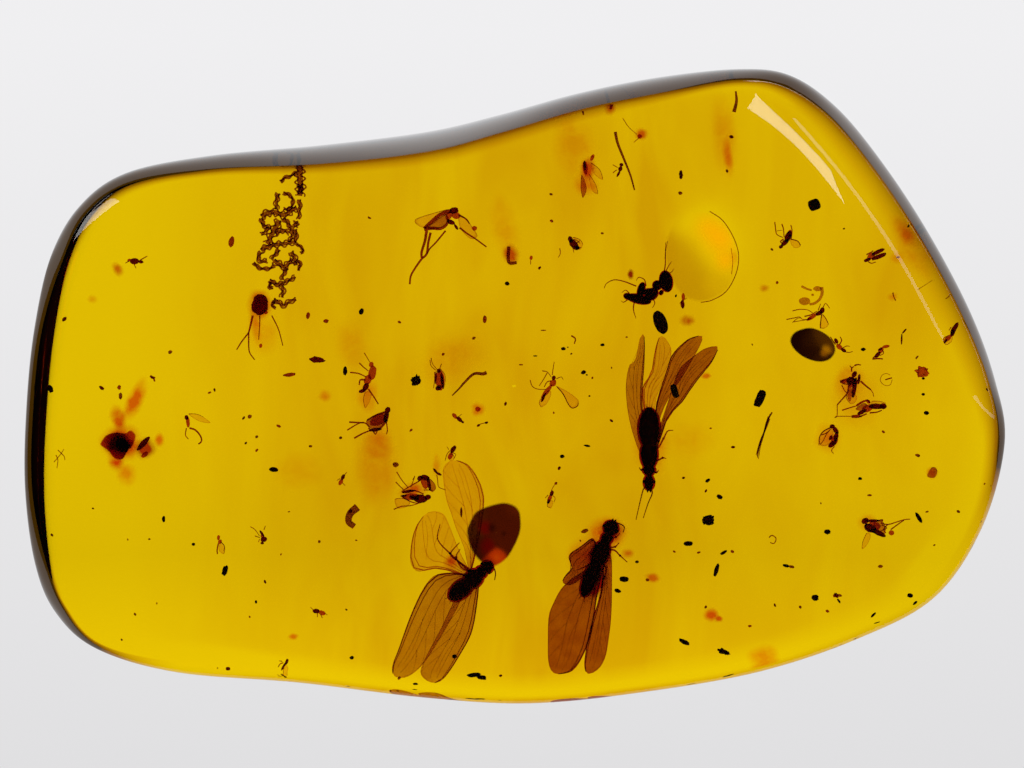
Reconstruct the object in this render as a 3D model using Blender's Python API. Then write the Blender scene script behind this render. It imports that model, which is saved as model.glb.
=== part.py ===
"""Insects in a polished amber stone that lies on its flat back.

X runs along the stone's length, Y across it and Z up, with the origin at the
middle of the underside. Sizes are in millimetres and MM turns them into
metres. The clear stone is parted at mid height. Each inclusion is a piece of
its own, in a pocket that is cut into the two halves around it.
"""

import math
from typing import NamedTuple

import bmesh
import bpy
from mathutils import Matrix, Vector

MM = 0.001
COLLECTION_NAME = "insect_in_amber"

# Stone
PARTING_HEIGHT = 6.0
PARTING_GAP = 0.3
RIM_HEIGHT = 11.2
WALL_CURVE = 1.3
DOME_RISE = 0.8
DOME_RINGS = (0.72, 0.36)
BACK_EDGE_ANGLES = (0.0, 30.0, 60.0, 90.0)
FRONT_EDGE_ANGLES = (0.0, 45.0, 90.0)
STEPS_PER_STRETCH = 2
# x, y, how far the wall leans in, radius of the back edge, radius of the front edge
OUTLINE = (
    (30.65, -3.6, 0.4, 1.4, 0.8),
    (30.1, 0.3, 0.45, 1.4, 0.8),
    (28.6, 4.5, 0.6, 1.4, 0.8),
    (26.1, 9.2, 0.75, 1.4, 0.8),
    (23.3, 13.6, 0.75, 1.4, 0.8),
    (20.2, 17.3, 0.6, 1.4, 0.8),
    (17.2, 19.3, 0.5, 1.4, 0.8),
    (14.0, 19.8, 0.6, 1.4, 0.8),
    (9.0, 19.3, 0.85, 1.4, 0.8),
    (4.0, 18.3, 1.0, 1.4, 0.8),
    (-1.0, 17.05, 1.15, 1.4, 0.8),
    (-5.5, 15.95, 1.2, 1.4, 0.8),
    (-12.0, 15.1, 1.2, 1.4, 0.8),
    (-19.0, 14.5, 0.8, 2.0, 0.7),
    (-24.3, 13.4, 0.3, 3.0, 0.5),
    (-27.3, 11.3, 0.05, 3.8, 0.4),
    (-29.1, 8.1, 0.0, 3.8, 0.4),
    (-30.1, 3.5, 0.0, 3.8, 0.4),
    (-30.6, -1.5, 0.0, 3.8, 0.4),
    (-30.65, -6.5, 0.0, 3.8, 0.4),
    (-30.1, -11.2, 0.0, 3.4, 0.4),
    (-28.7, -14.3, 0.0, 2.6, 0.5),
    (-26.0, -16.5, 0.0, 1.6, 0.8),
    (-21.0, -17.9, 0.0, 0.8, 1.2),
    (-13.4, -18.6, 0.0, 0.8, 1.2),
    (-5.5, -19.5, 0.0, 0.8, 1.2),
    (1.0, -19.8, 0.0, 0.8, 1.2),
    (8.0, -19.15, 0.0, 0.8, 1.2),
    (15.3, -17.9, 0.0, 0.8, 1.2),
    (21.5, -15.8, 0.0, 0.8, 1.2),
    (26.2, -13.1, 0.0, 0.9, 1.2),
    (29.3, -8.8, 0.15, 1.2, 1.0),
)
POCKET_CLEARANCE = 0.35

# Insects
WING_THICKNESS = 0.08
LIMB_RADIUS = 0.06
FINE_LIMB_RADIUS = 0.045

# Each colour is red, green, blue and alpha.
AMBER_COLOUR = (0.80, 0.42, 0.01, 0.45)
CHITIN_COLOUR = (0.035, 0.012, 0.004, 1.0)
GNAT_COLOUR = (0.10, 0.02, 0.005, 1.0)
DEBRIS_COLOUR = (0.012, 0.008, 0.004, 1.0)
PLANT_COLOUR = (0.22, 0.08, 0.01, 1.0)


class Body(NamedTuple):
    """One rounded part of an insect: centre along the body, then half sizes."""

    along: float
    half_length: float
    half_width: float
    half_height: float


class Limb(NamedTuple):
    """A leg or feeler: its route in the stone's own X and Y, and its height."""

    height: float
    route: tuple


class Wing(NamedTuple):
    """A wing membrane: its height in the stone and its outline in X and Y."""

    height: float
    outline: tuple


class Termite(NamedTuple):
    """A winged termite. heading is where its head points, and pitch tips it."""

    name: str
    place: tuple
    heading: float
    pitch: float
    abdomen: Body
    thorax: Body
    collar: Body
    head: Body
    wings: tuple
    limbs: tuple


class Gnat(NamedTuple):
    """A small fly. leg_reach and wing_spread are 0 where none can be made out."""

    name: str
    x: float
    y: float
    z: float
    length: float
    heading: float
    leg_reach: float
    wing_spread: float


class Grain(NamedTuple):
    """A pellet, crumb or seed that lies level."""

    name: str
    x: float
    y: float
    z: float
    length: float
    width: float
    heading: float


TERMITE_CENTRE = Termite(
    name="termite_centre",
    place=(8.4, -4.15, 6.0),
    heading=-90.0,
    pitch=0.0,
    abdomen=Body(-1.5, 1.35, 0.74, 0.6),
    thorax=Body(0.1, 0.95, 0.6, 0.5),
    collar=Body(1.05, 0.36, 0.45, 0.4),
    head=Body(1.82, 0.54, 0.38, 0.36),
    wings=(
        Wing(6.15, (
            (8.25, -3.4), (7.95, -4.4), (7.2, -2.25), (6.95, -0.15), (7.15, 1.25),
            (7.5, 1.55), (7.7, 2.35), (7.85, 3.05), (8.1, 3.1), (8.1, 1.3), (7.95, -0.9),
        )),
        Wing(5.93, (
            (8.5, -3.6), (8.0, -0.9), (8.05, 0.1), (8.45, 0.6), (8.6, 1.15), (8.7, 1.9),
            (8.95, 2.9), (9.25, 3.1), (9.55, 2.75), (9.8, 2.2), (9.6, 1.1), (9.1, -0.1),
            (8.8, -1.0),
        )),
        Wing(6.04, (
            (8.6, -3.4), (8.75, -2.1), (8.9, -0.9), (9.45, 0.8), (9.8, 1.9), (10.6, 2.75), (11.15, 3.05),
            (11.7, 3.1), (11.65, 2.7), (11.25, 1.9), (10.6, 0.75), (9.95, -0.25), (9.3, -1.4),
        )),
        Wing(5.82, (
            (8.55, -4.1), (9.1, -2.4), (9.6, -0.9), (10.15, 0.8), (10.6, 1.4), (11.65, 2.2),
            (12.1, 2.4), (12.7, 2.4), (12.3, 1.45), (11.65, 0.65), (11.0, -0.2),
            (10.55, -0.9), (9.6, -1.9), (9.15, -3.1), (8.75, -4.2),
        )),
    ),
    limbs=(
        Limb(6.1, ((8.5, -4.1), (8.95, -3.85), (9.3, -3.25), (9.55, -2.8), (9.9, -2.75))),
        Limb(5.9, ((8.5, -4.65), (8.95, -4.6), (9.45, -4.5))),
        Limb(6.0, ((8.25, -6.2), (8.05, -6.4), (7.85, -7.15), (7.6, -8.25))),
        Limb(6.0, ((8.5, -6.3), (8.6, -6.65), (8.35, -7.25), (8.05, -8.15))),
    ),
)

TERMITE_LOWER = Termite(
    name="termite_lower",
    place=(5.33, -10.5, 6.0),
    heading=67.6,
    pitch=0.0,
    abdomen=Body(-1.45, 1.35, 0.56, 0.55),
    thorax=Body(0.15, 0.95, 0.62, 0.52),
    collar=Body(1.15, 0.36, 0.45, 0.42),
    head=Body(1.85, 0.52, 0.49, 0.42),
    wings=(
        Wing(6.15, (
            (5.1, -10.1), (4.9, -9.4), (4.2, -9.9), (3.45, -10.4), (3.45, -10.85),
            (3.6, -11.25), (3.1, -11.85), (3.05, -12.2), (3.6, -12.3), (4.6, -11.5),
        )),
        Wing(5.88, (
            (5.1, -10.9), (4.4, -11.4), (3.5, -12.0), (2.9, -12.6), (2.4, -13.55),
            (2.15, -14.3), (2.1, -15.9), (2.15, -17.2), (2.5, -17.8), (3.3, -17.8),
            (3.8, -17.5), (4.25, -16.8), (4.65, -15.85), (4.95, -14.55), (5.2, -12.9),
            (5.55, -11.2),
        )),
        Wing(6.05, (
            (5.6, -10.55), (5.4, -12.75), (4.75, -14.95), (4.4, -16.8), (4.4, -17.6),
            (4.7, -17.85), (5.3, -17.5), (5.7, -16.75), (5.9, -15.6), (6.05, -14.3),
            (6.1, -12.45), (6.05, -10.45),
        )),
    ),
    limbs=(
        Limb(6.13, ((6.2, -8.6), (6.45, -8.5), (6.85, -8.7), (6.8, -9.05))),
        Limb(6.1, ((5.5, -10.1), (6.0, -10.0), (6.55, -9.7))),
        Limb(5.95, ((5.5, -10.2), (6.2, -10.15), (6.6, -10.5), (7.05, -10.9))),
        Limb(6.0, ((5.0, -11.0), (4.5, -11.15), (3.95, -11.4))),
    ),
)

TERMITE_LEFT = Termite(
    name="termite_left",
    place=(-2.6, -12.0, 6.0),
    heading=40.0,
    pitch=-48.0,
    abdomen=Body(-1.35, 1.35, 0.62, 0.58),
    thorax=Body(0.15, 0.95, 0.62, 0.52),
    collar=Body(1.1, 0.36, 0.45, 0.42),
    head=Body(1.8, 0.5, 0.44, 0.4),
    wings=(
        Wing(6.21, (
            (-2.75, -11.6), (-3.1, -10.05), (-3.6, -8.85), (-3.9, -7.95), (-4.25, -6.95),
            (-4.4, -5.9), (-4.45, -5.2), (-4.2, -4.75), (-3.7, -4.6), (-3.15, -4.7),
            (-2.7, -5.0), (-2.3, -5.6), (-2.0, -6.25), (-1.85, -6.95), (-1.9, -7.75),
            (-2.1, -9.0), (-2.4, -10.4),
        )),
        Wing(6.05, (
            (-2.75, -11.7), (-3.4, -10.2), (-4.15, -8.3), (-4.5, -7.85), (-4.95, -7.75),
            (-5.4, -7.85), (-5.8, -8.25), (-6.15, -8.8), (-6.4, -9.7), (-6.45, -10.9),
            (-6.0, -11.5), (-5.1, -11.3), (-4.2, -11.4),
        )),
        Wing(5.87, (
            (-2.95, -11.75), (-4.6, -11.6), (-5.5, -12.3), (-6.4, -14.1), (-7.2, -16.3),
            (-7.6, -17.4), (-7.4, -18.0), (-6.6, -18.0), (-5.55, -17.1), (-4.2, -14.95),
            (-3.2, -13.05),
        )),
        Wing(5.69, (
            (-2.85, -11.85), (-3.7, -13.25), (-4.6, -15.1), (-5.6, -17.0), (-5.8, -17.9),
            (-5.0, -18.4), (-4.25, -18.0), (-3.2, -16.4), (-2.6, -15.2), (-2.3, -13.55),
            (-2.2, -12.0),
        )),
    ),
    limbs=(
        Limb(5.97, ((-2.7, -11.6), (-3.3, -11.0), (-4.0, -10.35), (-4.75, -9.5), (-4.6, -8.55))),
        Limb(6.13, ((-2.7, -11.4), (-3.4, -10.9), (-3.95, -10.4), (-3.4, -9.7))),
    ),
)

GNATS = (
    Gnat("gnat_01", 2.2, -0.15, 6.8, 1.6, 62.0, 0.75, 32.0),
    Gnat("gnat_02", -7.95, -1.8, 5.2, 0.95, 80.0, 1.1, 0.0),
    Gnat("gnat_03", -9.15, 0.5, 5.2, 1.7, 68.0, 0.6, 0.0),
    Gnat("gnat_04", -4.65, 0.35, 6.8, 1.2, 97.0, 0.0, 0.0),
    Gnat("gnat_05", -3.5, -2.0, 5.2, 0.75, 135.0, 0.0, 0.0),
    Gnat("gnat_06", -3.85, -4.0, 6.8, 0.85, 62.0, 0.0, 0.0),
    Gnat("gnat_07", -5.4, -6.0, 6.8, 0.9, 115.0, 0.0, 0.0),
    Gnat("gnat_08", -6.4, -6.8, 5.2, 1.6, -6.0, 0.8, 0.0),
    Gnat("gnat_09", 2.3, -7.0, 6.8, 0.85, 67.0, 0.0, 0.0),
    Gnat("gnat_10", 3.7, 8.8, 6.8, 0.9, 118.0, 0.0, 0.0),
    Gnat("gnat_11", 17.0, 9.1, 6.8, 1.2, 55.0, 0.85, 0.0),
    Gnat("gnat_12", 18.8, 4.4, 6.8, 1.1, 33.0, 1.0, 0.0),
    Gnat("gnat_13", 21.25, -0.1, 6.8, 1.8, 77.0, 0.75, 0.0),
    Gnat("gnat_14", 22.6, -1.45, 5.2, 1.5, 15.0, 0.7, 0.0),
    Gnat("gnat_15", 19.95, -3.1, 5.2, 1.35, 80.0, 0.75, 0.0),
    Gnat("gnat_16", 22.5, -8.85, 6.8, 1.6, 145.0, 0.8, 0.0),
    Gnat("gnat_17", 20.3, 2.5, 5.2, 0.95, 130.0, 0.0, 0.0),
    Gnat("gnat_18", 22.8, 2.1, 6.8, 1.0, 42.0, 0.0, 0.0),
    Gnat("gnat_19", -12.05, -13.95, 6.8, 0.75, 158.0, 0.0, 0.0),
    Gnat("gnat_20", -14.2, -17.0, 5.2, 0.7, 60.0, 0.0, 0.0),
    Gnat("gnat_21", -23.6, 7.75, 5.2, 0.95, 20.0, 0.0, 0.0),
    Gnat("gnat_22", 22.4, 8.0, 5.2, 1.2, 15.0, 0.0, 0.0),
    Gnat("gnat_23", 27.0, 3.2, 5.2, 0.85, 70.0, 0.0, 0.0),
    Gnat("gnat_24", -15.6, -9.5, 6.8, 0.65, -70.0, 0.9, 0.0),
    Gnat("gnat_25", -18.3, -9.65, 5.2, 0.8, 95.0, 0.0, 0.0),
    Gnat("gnat_26", -10.7, -5.8, 6.8, 0.85, 65.0, 0.0, 0.0),
    Gnat("gnat_27", -3.7, 10.7, 5.2, 1.3, 105.0, 1.2, 0.0),
    Gnat("gnat_28", 10.5, 5.25, 6.8, 0.85, 85.0, 0.0, 0.0),
)

GRAINS = (
    Grain("seed_oval", 9.1, 3.95, 6.95, 1.5, 0.78, -71.0),
    Grain("pellet_on_wing", 9.95, -0.3, 6.75, 0.9, 0.5, -75.0),
    Grain("pellet_waisted", 15.3, -0.8, 5.2, 1.05, 0.53, 65.0),
    Grain("pellet_lower_left", -18.0, -11.45, 6.7, 0.6, 0.32, 71.0),
    Grain("pellet_upper_right", 18.7, 11.25, 5.2, 0.78, 0.75, 20.0),
    Grain("pellet_beside_wing", 6.85, -11.97, 6.8, 0.55, 0.34, -5.0),
    Grain("pellet_right_of_head", 10.85, -9.75, 5.2, 0.55, 0.3, 0.0),
    Grain("crumb_square", 12.1, -8.3, 5.3, 0.65, 0.6, 10.0),
    Grain("crumb_long", 12.6, -11.4, 5.2, 0.8, 0.26, 75.0),
    Grain("crumb_left", -14.95, -5.2, 5.2, 0.55, 0.3, -5.0),
    Grain("crumb_star", -6.1, 0.35, 5.3, 0.56, 0.52, 30.0),
    Grain("crumb_red_core", -24.35, -3.7, 5.2, 0.7, 0.65, 0.0),
    Grain("crumb_rimmed", -15.8, 5.05, 5.2, 1.2, 0.95, 75.0),
    Grain("crumb_bottom", 13.05, -16.45, 5.3, 0.75, 0.3, -20.0),
    Grain("crumb_bottom_right", 18.75, -13.1, 5.2, 0.42, 0.38, 0.0),
    Grain("crumb_lens_right", 25.15, -8.15, 5.2, 0.7, 0.25, -60.0),
    Grain("crumb_brown_right", 25.35, 0.85, 5.3, 0.68, 0.6, 0.0),
)

# Threads and slivers: name, radius in mm, height in mm, route in X and Y
STRANDS = (
    ("plant_rod", 0.1, 5.2, ((6.35, 15.7), (6.9, 14.0), (7.55, 12.1))),
    ("bark_sliver", 0.12, 6.7, ((13.7, 16.95), (13.85, 17.6), (13.8, 18.2))),
    ("fibre_bundle", 0.2, 6.8, ((16.0, -1.85), (15.55, -2.9), (15.2, -4.1))),
    ("curved_filament", 0.17, 5.3, ((-1.75, 0.8), (-2.5, 0.75), (-3.1, 0.2), (-3.75, -0.4))),
    ("bean_husk", 0.25, 6.8, ((-9.75, -7.5), (-10.2, -7.9), (-10.3, -8.4), (-9.95, -8.7))),
    ("bent_stalk", 0.14, 5.2, ((-0.3, 8.6), (-0.3, 7.65), (0.2, 7.6))),
)
STRAND_MAIN_FORM = (
    (-13.95, 13.3), (-13.05, 13.3), (-13.2, 12.25), (-13.3, 11.3), (-13.1, 10.2),
    (-13.4, 9.1), (-13.45, 7.75), (-13.75, 6.9), (-13.6, 5.5), (-14.4, 5.15), (-14.8, 5.6),
    (-14.8, 6.4), (-15.2, 7.2), (-16.0, 7.6), (-15.7, 8.8), (-15.95, 10.2), (-15.5, 11.0),
    (-14.7, 11.4), (-14.05, 11.9),
)


def clear_scene():
    """Remove whatever the open file holds."""
    for item in list(bpy.data.objects):
        bpy.data.objects.remove(item, do_unlink=True)


def make_collection(name):
    """A new collection under the scene."""
    collection = bpy.data.collections.new(name)
    bpy.context.scene.collection.children.link(collection)
    return collection


def make_material(name, colour, roughness, transmission=0.0):
    """A Principled material in one colour."""
    material = bpy.data.materials.new(name)
    material.use_nodes = True
    shader = material.node_tree.nodes["Principled BSDF"]
    shader.inputs["Base Color"].default_value = colour[:3] + (1.0,)
    shader.inputs["Alpha"].default_value = colour[3]
    shader.inputs["Roughness"].default_value = roughness
    shader.inputs["Metallic"].default_value = 0.0
    shader.inputs["Transmission Weight"].default_value = transmission
    shader.inputs["IOR"].default_value = 1.54
    material.diffuse_color = colour
    return material


def add_object(name, mesh, collection, material=None):
    """An object for a mesh, in one collection, with one material."""
    item = bpy.data.objects.new(name, mesh)
    collection.objects.link(item)
    if material is not None:
        mesh.materials.append(material)
    return item


def mesh_from(bm, name):
    """Turn a finished bmesh into a mesh with its faces pointing out."""
    bmesh.ops.recalc_face_normals(bm, faces=bm.faces[:])
    mesh = bpy.data.meshes.new(name)
    bm.to_mesh(mesh)
    bm.free()
    return mesh


def mark_as_tool(item):
    """Show a cutter or an operand as wire and keep it out of renders."""
    item.hide_render = True
    item.display_type = "WIRE"


def rounded_loop(rows, steps):
    """Smooth closed curve through the rows, as Catmull-Rom stretches."""
    count = len(rows)
    loop = []
    for index in range(count):
        before, start, end, after = (Vector(rows[(index + k) % count]) for k in (-1, 0, 1, 2))
        for step in range(steps):
            t = step / steps
            loop.append(
                start
                + (end - before) * (t / 2)
                + (before * 2 - start * 5 + end * 4 - after) * (t * t / 2)
                + (start * 3 - before - end * 3 + after) * (t * t * t / 2)
            )
    return loop


def stone_stations():
    """For each point of the outline: place, outward direction, lean and edge radii."""
    loop = rounded_loop(OUTLINE, STEPS_PER_STRETCH)
    stations = []
    for index, row in enumerate(loop):
        run = loop[(index + 1) % len(loop)] - loop[index - 1]
        outward = Vector((run[1], -run[0])).normalized()
        stations.append((Vector(row[:2]), outward, max(row[2], 0.0), row[3], row[4]))
    return stations


def wall_ring(stations, height):
    """Ring around the wall at one height. The wall leans in above the back edge."""
    ring = []
    for place, outward, lean, back_radius, front_radius in stations:
        share = (height - back_radius) / (RIM_HEIGHT - front_radius - back_radius)
        ring.append((place - outward * lean * share**WALL_CURVE, height))
    return ring


def back_rings(stations):
    """Rings of the lower half, from the flat back up to the parting plane."""
    rings = []
    for degrees in BACK_EDGE_ANGLES:
        angle = math.radians(degrees)
        rings.append([
            (place - outward * radius * (1 - math.sin(angle)), radius * (1 - math.cos(angle)))
            for place, outward, lean, radius, front_radius in stations
        ])
    rings.append(wall_ring(stations, PARTING_HEIGHT - PARTING_GAP / 2))
    return rings


def front_rings(stations):
    """Rings of the upper half, from the parting plane up over the domed front."""
    rings = [wall_ring(stations, PARTING_HEIGHT + PARTING_GAP / 2)]
    for degrees in FRONT_EDGE_ANGLES:
        angle = math.radians(degrees)
        rings.append([
            (
                place - outward * (lean + radius * (1 - math.cos(angle))),
                RIM_HEIGHT - radius * (1 - math.sin(angle)),
            )
            for place, outward, lean, back_radius, radius in stations
        ])
    edge = rings[-1]
    for share in DOME_RINGS:
        rings.append([
            (place * share, height + DOME_RISE * (1 - share * share)) for place, height in edge
        ])
    return rings


def loft(name, rings, collection, material):
    """Closed solid through rings of equal length, capped at both ends."""
    bm = bmesh.new()
    made = [
        [bm.verts.new(Vector((place.x, place.y, height)) * MM) for place, height in ring]
        for ring in rings
    ]
    for lower, upper in zip(made, made[1:]):
        for index in range(len(lower)):
            following = (index + 1) % len(lower)
            bm.faces.new((lower[index], lower[following], upper[following], upper[index]))
    bm.faces.new(made[0][::-1])
    bm.faces.new(made[-1])
    return add_object(name, mesh_from(bm, name), collection, material)


def ball(name, body, place, collection, segments=6, rings=4):
    """An ellipsoid with its poles along the insect's own length."""
    bm = bmesh.new()
    half = Vector((body.half_length, body.half_width, body.half_height)) * MM
    shape = Matrix.Diagonal((*half, 1.0)) @ Matrix.Rotation(math.pi / 2, 4, "Y")
    bmesh.ops.create_uvsphere(
        bm, u_segments=segments, v_segments=rings, radius=1.0, matrix=shape
    )
    item = add_object(name, mesh_from(bm, name), collection)
    item.matrix_world = place @ Matrix.Translation((body.along * MM, 0.0, 0.0))
    return item


def curve_object(name, routes, kind, cyclic, collection):
    """A poly curve through points in millimetres."""
    curve = bpy.data.curves.new(name, "CURVE")
    curve.dimensions = kind
    for route in routes:
        spline = curve.splines.new("POLY")
        spline.points.add(len(route) - 1)
        for point, place in zip(spline.points, route):
            point.co = (*(Vector(place).to_3d() * MM), 1.0)
        spline.use_cyclic_u = cyclic
    item = bpy.data.objects.new(name, curve)
    collection.objects.link(item)
    return item


def curve_to_mesh(item, collection, material=None):
    """Replace a curve object by a mesh object with its caps welded."""
    view = bpy.context.evaluated_depsgraph_get()
    mesh = bpy.data.meshes.new_from_object(item.evaluated_get(view))
    bm = bmesh.new()
    bm.from_mesh(mesh)
    bmesh.ops.remove_doubles(bm, verts=bm.verts[:], dist=0.001 * MM)
    bmesh.ops.recalc_face_normals(bm, faces=bm.faces[:])
    bm.to_mesh(mesh)
    bm.free()
    name = item.name
    matrix = item.matrix_world.copy()
    bpy.data.objects.remove(item, do_unlink=True)
    made = add_object(name, mesh, collection, material)
    made.matrix_world = matrix
    return made


def tube(name, route, radius, place, collection, material=None, resolution=0):
    """A round bar along a route, in the frame that place gives."""
    item = curve_object(name, [route], "3D", False, collection)
    item.data.bevel_depth = radius * MM
    item.data.bevel_resolution = resolution
    item.data.use_fill_caps = True
    item.matrix_world = place
    bpy.context.view_layer.update()
    return curve_to_mesh(item, collection, material)


def plate(name, outline, thickness, place, collection, material=None):
    """A level plate with the given outline, centred on the height of place."""
    item = curve_object(name, [outline], "2D", True, collection)
    item.data.fill_mode = "BOTH"
    item.data.extrude = thickness * MM / 2
    item.matrix_world = place
    bpy.context.view_layer.update()
    return curve_to_mesh(item, collection, material)


def fuse(base, operands):
    """Join the operand solids to the base in one Boolean union."""
    group = bpy.data.collections.new(f"{base.name}_operands")
    bpy.data.collections["operands"].children.link(group)
    for item in operands:
        for owner in list(item.users_collection):
            owner.objects.unlink(item)
        group.objects.link(item)
        mark_as_tool(item)
    union = base.modifiers.new("union", "BOOLEAN")
    union.operation = "UNION"
    union.operand_type = "COLLECTION"
    union.collection = group
    union.solver = "EXACT"


def insect_place(x, y, z, heading, pitch=0.0):
    """Frame of an insect whose head points along its own +X."""
    spin = Matrix.Rotation(math.radians(heading), 4, "Z")
    tip = Matrix.Rotation(math.radians(pitch), 4, "Y")
    return Matrix.Translation(Vector((x, y, z)) * MM) @ spin @ tip


def at_height(height):
    """Frame whose X and Y are the stone's own, at a height in millimetres."""
    return Matrix.Translation((0.0, 0.0, height * MM))


def make_termite(termite, parts, operands, material):
    """One termite with its wings, legs and feelers fused to its body."""
    place = insect_place(*termite.place, termite.heading, termite.pitch)
    name = termite.name
    abdomen = ball(name, termite.abdomen, place, parts, segments=8, rings=7)
    abdomen.data.materials.append(material)
    trunk = [
        ball(f"{name}_thorax", termite.thorax, place, operands, segments=8, rings=5),
        ball(f"{name}_collar", termite.collar, place, operands),
        ball(f"{name}_head", termite.head, place, operands, segments=8, rings=5),
    ]
    spread = [
        plate(f"{name}_wing_{k}", wing.outline, WING_THICKNESS, at_height(wing.height), operands)
        for k, wing in enumerate(termite.wings)
    ]
    spread += [
        tube(
            f"{name}_limb_{k}",
            [(x, y, 0.0) for x, y in limb.route],
            LIMB_RADIUS,
            at_height(limb.height),
            operands,
        )
        for k, limb in enumerate(termite.limbs)
    ]
    make_pocket(f"{name}_body", [abdomen] + trunk)
    make_pocket(f"{name}_spread", spread)
    return abdomen, trunk + spread


def gnat_leg(side, direction, reach):
    """A bent leg in the gnat's own frame, from its middle out to its foot."""
    knee = Vector((math.cos(direction), side * math.sin(direction), 0.0)) * reach * 0.5
    foot = Vector((math.cos(direction + 0.5), side * math.sin(direction + 0.5), 0.0)) * reach * 0.5
    return [(0.0, 0.0, 0.0), knee, knee + foot]


def gnat_wing(side, spread, length):
    """A narrow rounded wing that trails from the gnat's middle."""
    points = ((0.0, 0.0), (0.35, 0.12), (0.75, 0.2), (0.98, 0.08), (0.9, -0.08), (0.4, -0.1))
    turn = Matrix.Rotation(math.pi - side * math.radians(spread), 2)
    return [tuple(turn @ Vector((x, side * y)) * length) + (0.0,) for x, y in points]


def make_gnat(gnat, parts, operands, material):
    """One small fly: abdomen, thorax and head, with legs and wings where they show."""
    place = insect_place(gnat.x, gnat.y, gnat.z, gnat.heading)
    size = gnat.length
    abdomen = ball(gnat.name, Body(-0.22 * size, 0.3 * size, 0.12 * size, 0.11 * size),
                   place, parts, segments=5)
    abdomen.data.materials.append(material)
    added = [
        ball(f"{gnat.name}_thorax", Body(0.14 * size, 0.18 * size, 0.14 * size, 0.13 * size),
             place, operands, segments=5, rings=3),
        ball(f"{gnat.name}_head", Body(0.38 * size, 0.12 * size, 0.11 * size, 0.1 * size),
             place, operands, segments=5, rings=3),
    ]
    if gnat.leg_reach:
        middle = place @ Matrix.Translation((0.12 * size * MM, 0.0, 0.0))
        for number, degrees in enumerate((55.0, 125.0)):
            for side in (-1, 1):
                route = gnat_leg(side, math.radians(degrees), gnat.leg_reach * size)
                added.append(tube(f"{gnat.name}_leg_{number}_{side}", route,
                                  FINE_LIMB_RADIUS, middle, operands))
    if gnat.wing_spread:
        lifted = place @ Matrix.Translation((0.1 * size * MM, 0.0, 0.06 * size * MM))
        for side in (-1, 1):
            outline = gnat_wing(side, gnat.wing_spread, gnat.length)
            added.append(plate(f"{gnat.name}_wing_{side}", outline, WING_THICKNESS,
                               lifted, operands))
    make_pocket(gnat.name, [abdomen] + added)
    return abdomen, added


def make_wasp(parts, operands, material):
    """The dark ant-like wasp above the middle: rounded parts, legs and one long feeler."""
    pieces = (
        ("wasp", (9.45, 6.5, 6.4), -80.0, Body(0.0, 0.67, 0.42, 0.4)),
        ("wasp_waist", (8.9, 6.25, 6.4), 0.0, Body(0.0, 0.3, 0.3, 0.3)),
        ("wasp_middle", (8.55, 5.7, 6.4), 35.0, Body(0.0, 0.45, 0.36, 0.34)),
        ("wasp_neck", (7.9, 5.95, 6.4), 75.0, Body(0.0, 0.5, 0.24, 0.26)),
        ("wasp_front", (7.75, 5.4, 6.4), -13.0, Body(0.0, 0.78, 0.3, 0.3)),
    )
    balls = [
        ball(name, body, insect_place(*place, heading), parts if name == "wasp" else operands,
             rings=5)
        for name, place, heading, body in pieces
    ]
    balls[0].data.materials.append(material)
    routes = (
        ((7.85, 6.1), (6.8, 6.5), (6.2, 6.55), (5.75, 6.35), (5.6, 6.05)),
        ((7.5, 5.3), (7.45, 4.7), (7.55, 4.2)),
        ((9.3, 6.9), (9.4, 7.55), (9.45, 8.35), (9.55, 9.0)),
    )
    limbs = [
        tube(f"wasp_limb_{number}", [(x, y, 0.0) for x, y in route], LIMB_RADIUS,
             at_height(6.4), operands)
        for number, route in enumerate(routes)
    ]
    make_pocket("wasp", balls + limbs)
    return balls[0], balls[1:] + limbs


def make_grain(grain, parts, material):
    """A short rounded pellet that lies level."""
    bm = bmesh.new()
    bmesh.ops.create_cone(
        bm,
        cap_ends=True,
        segments=6,
        radius1=grain.width * MM / 2,
        radius2=grain.width * MM * 0.4,
        depth=grain.length * MM,
        matrix=Matrix.Rotation(math.pi / 2, 4, "Y"),
    )
    item = add_object(grain.name, mesh_from(bm, grain.name), parts, material)
    item.location = Vector((grain.x, grain.y, grain.z)) * MM
    item.rotation_euler = (0.0, 0.0, math.radians(grain.heading))
    bpy.context.view_layer.update()
    make_pocket(grain.name, [item])


def make_strands(parts, material):
    """Plant threads and slivers, and the frilled strand at the upper left."""
    for name, radius, height, route in STRANDS:
        item = tube(name, [(x, y, 0.0) for x, y in route], radius, at_height(height), parts,
                    material, resolution=1)
        make_pocket(name, [item])
    item = plate("frilled_strand", [(x, y, 0.0) for x, y in STRAND_MAIN_FORM], 0.4,
                 at_height(5.2), parts, material)
    make_pocket("frilled_strand", [item])


def corners_of(items):
    """Lowest and highest corners of the items as they stand, in metres."""
    bpy.context.view_layer.update()
    points = [item.matrix_world @ Vector(vertex.co) for item in items for vertex in item.data.vertices]
    low = Vector(min(point[axis] for point in points) for axis in range(3))
    high = Vector(max(point[axis] for point in points) for axis in range(3))
    return low, high


def make_pocket(name, items):
    """A box around the items that opens on the gap between the two halves."""
    clearance = Vector((POCKET_CLEARANCE,) * 3) * MM
    low, high = corners_of(items)
    low -= clearance
    high += clearance
    low.z = min(low.z, PARTING_HEIGHT * MM)
    high.z = max(high.z, PARTING_HEIGHT * MM)
    bm = bmesh.new()
    bmesh.ops.create_cube(bm, size=1.0, matrix=Matrix.LocRotScale((low + high) / 2, None, high - low))
    item = add_object(f"pocket_{name}", mesh_from(bm, name), bpy.data.collections["pockets"])
    mark_as_tool(item)


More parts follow.
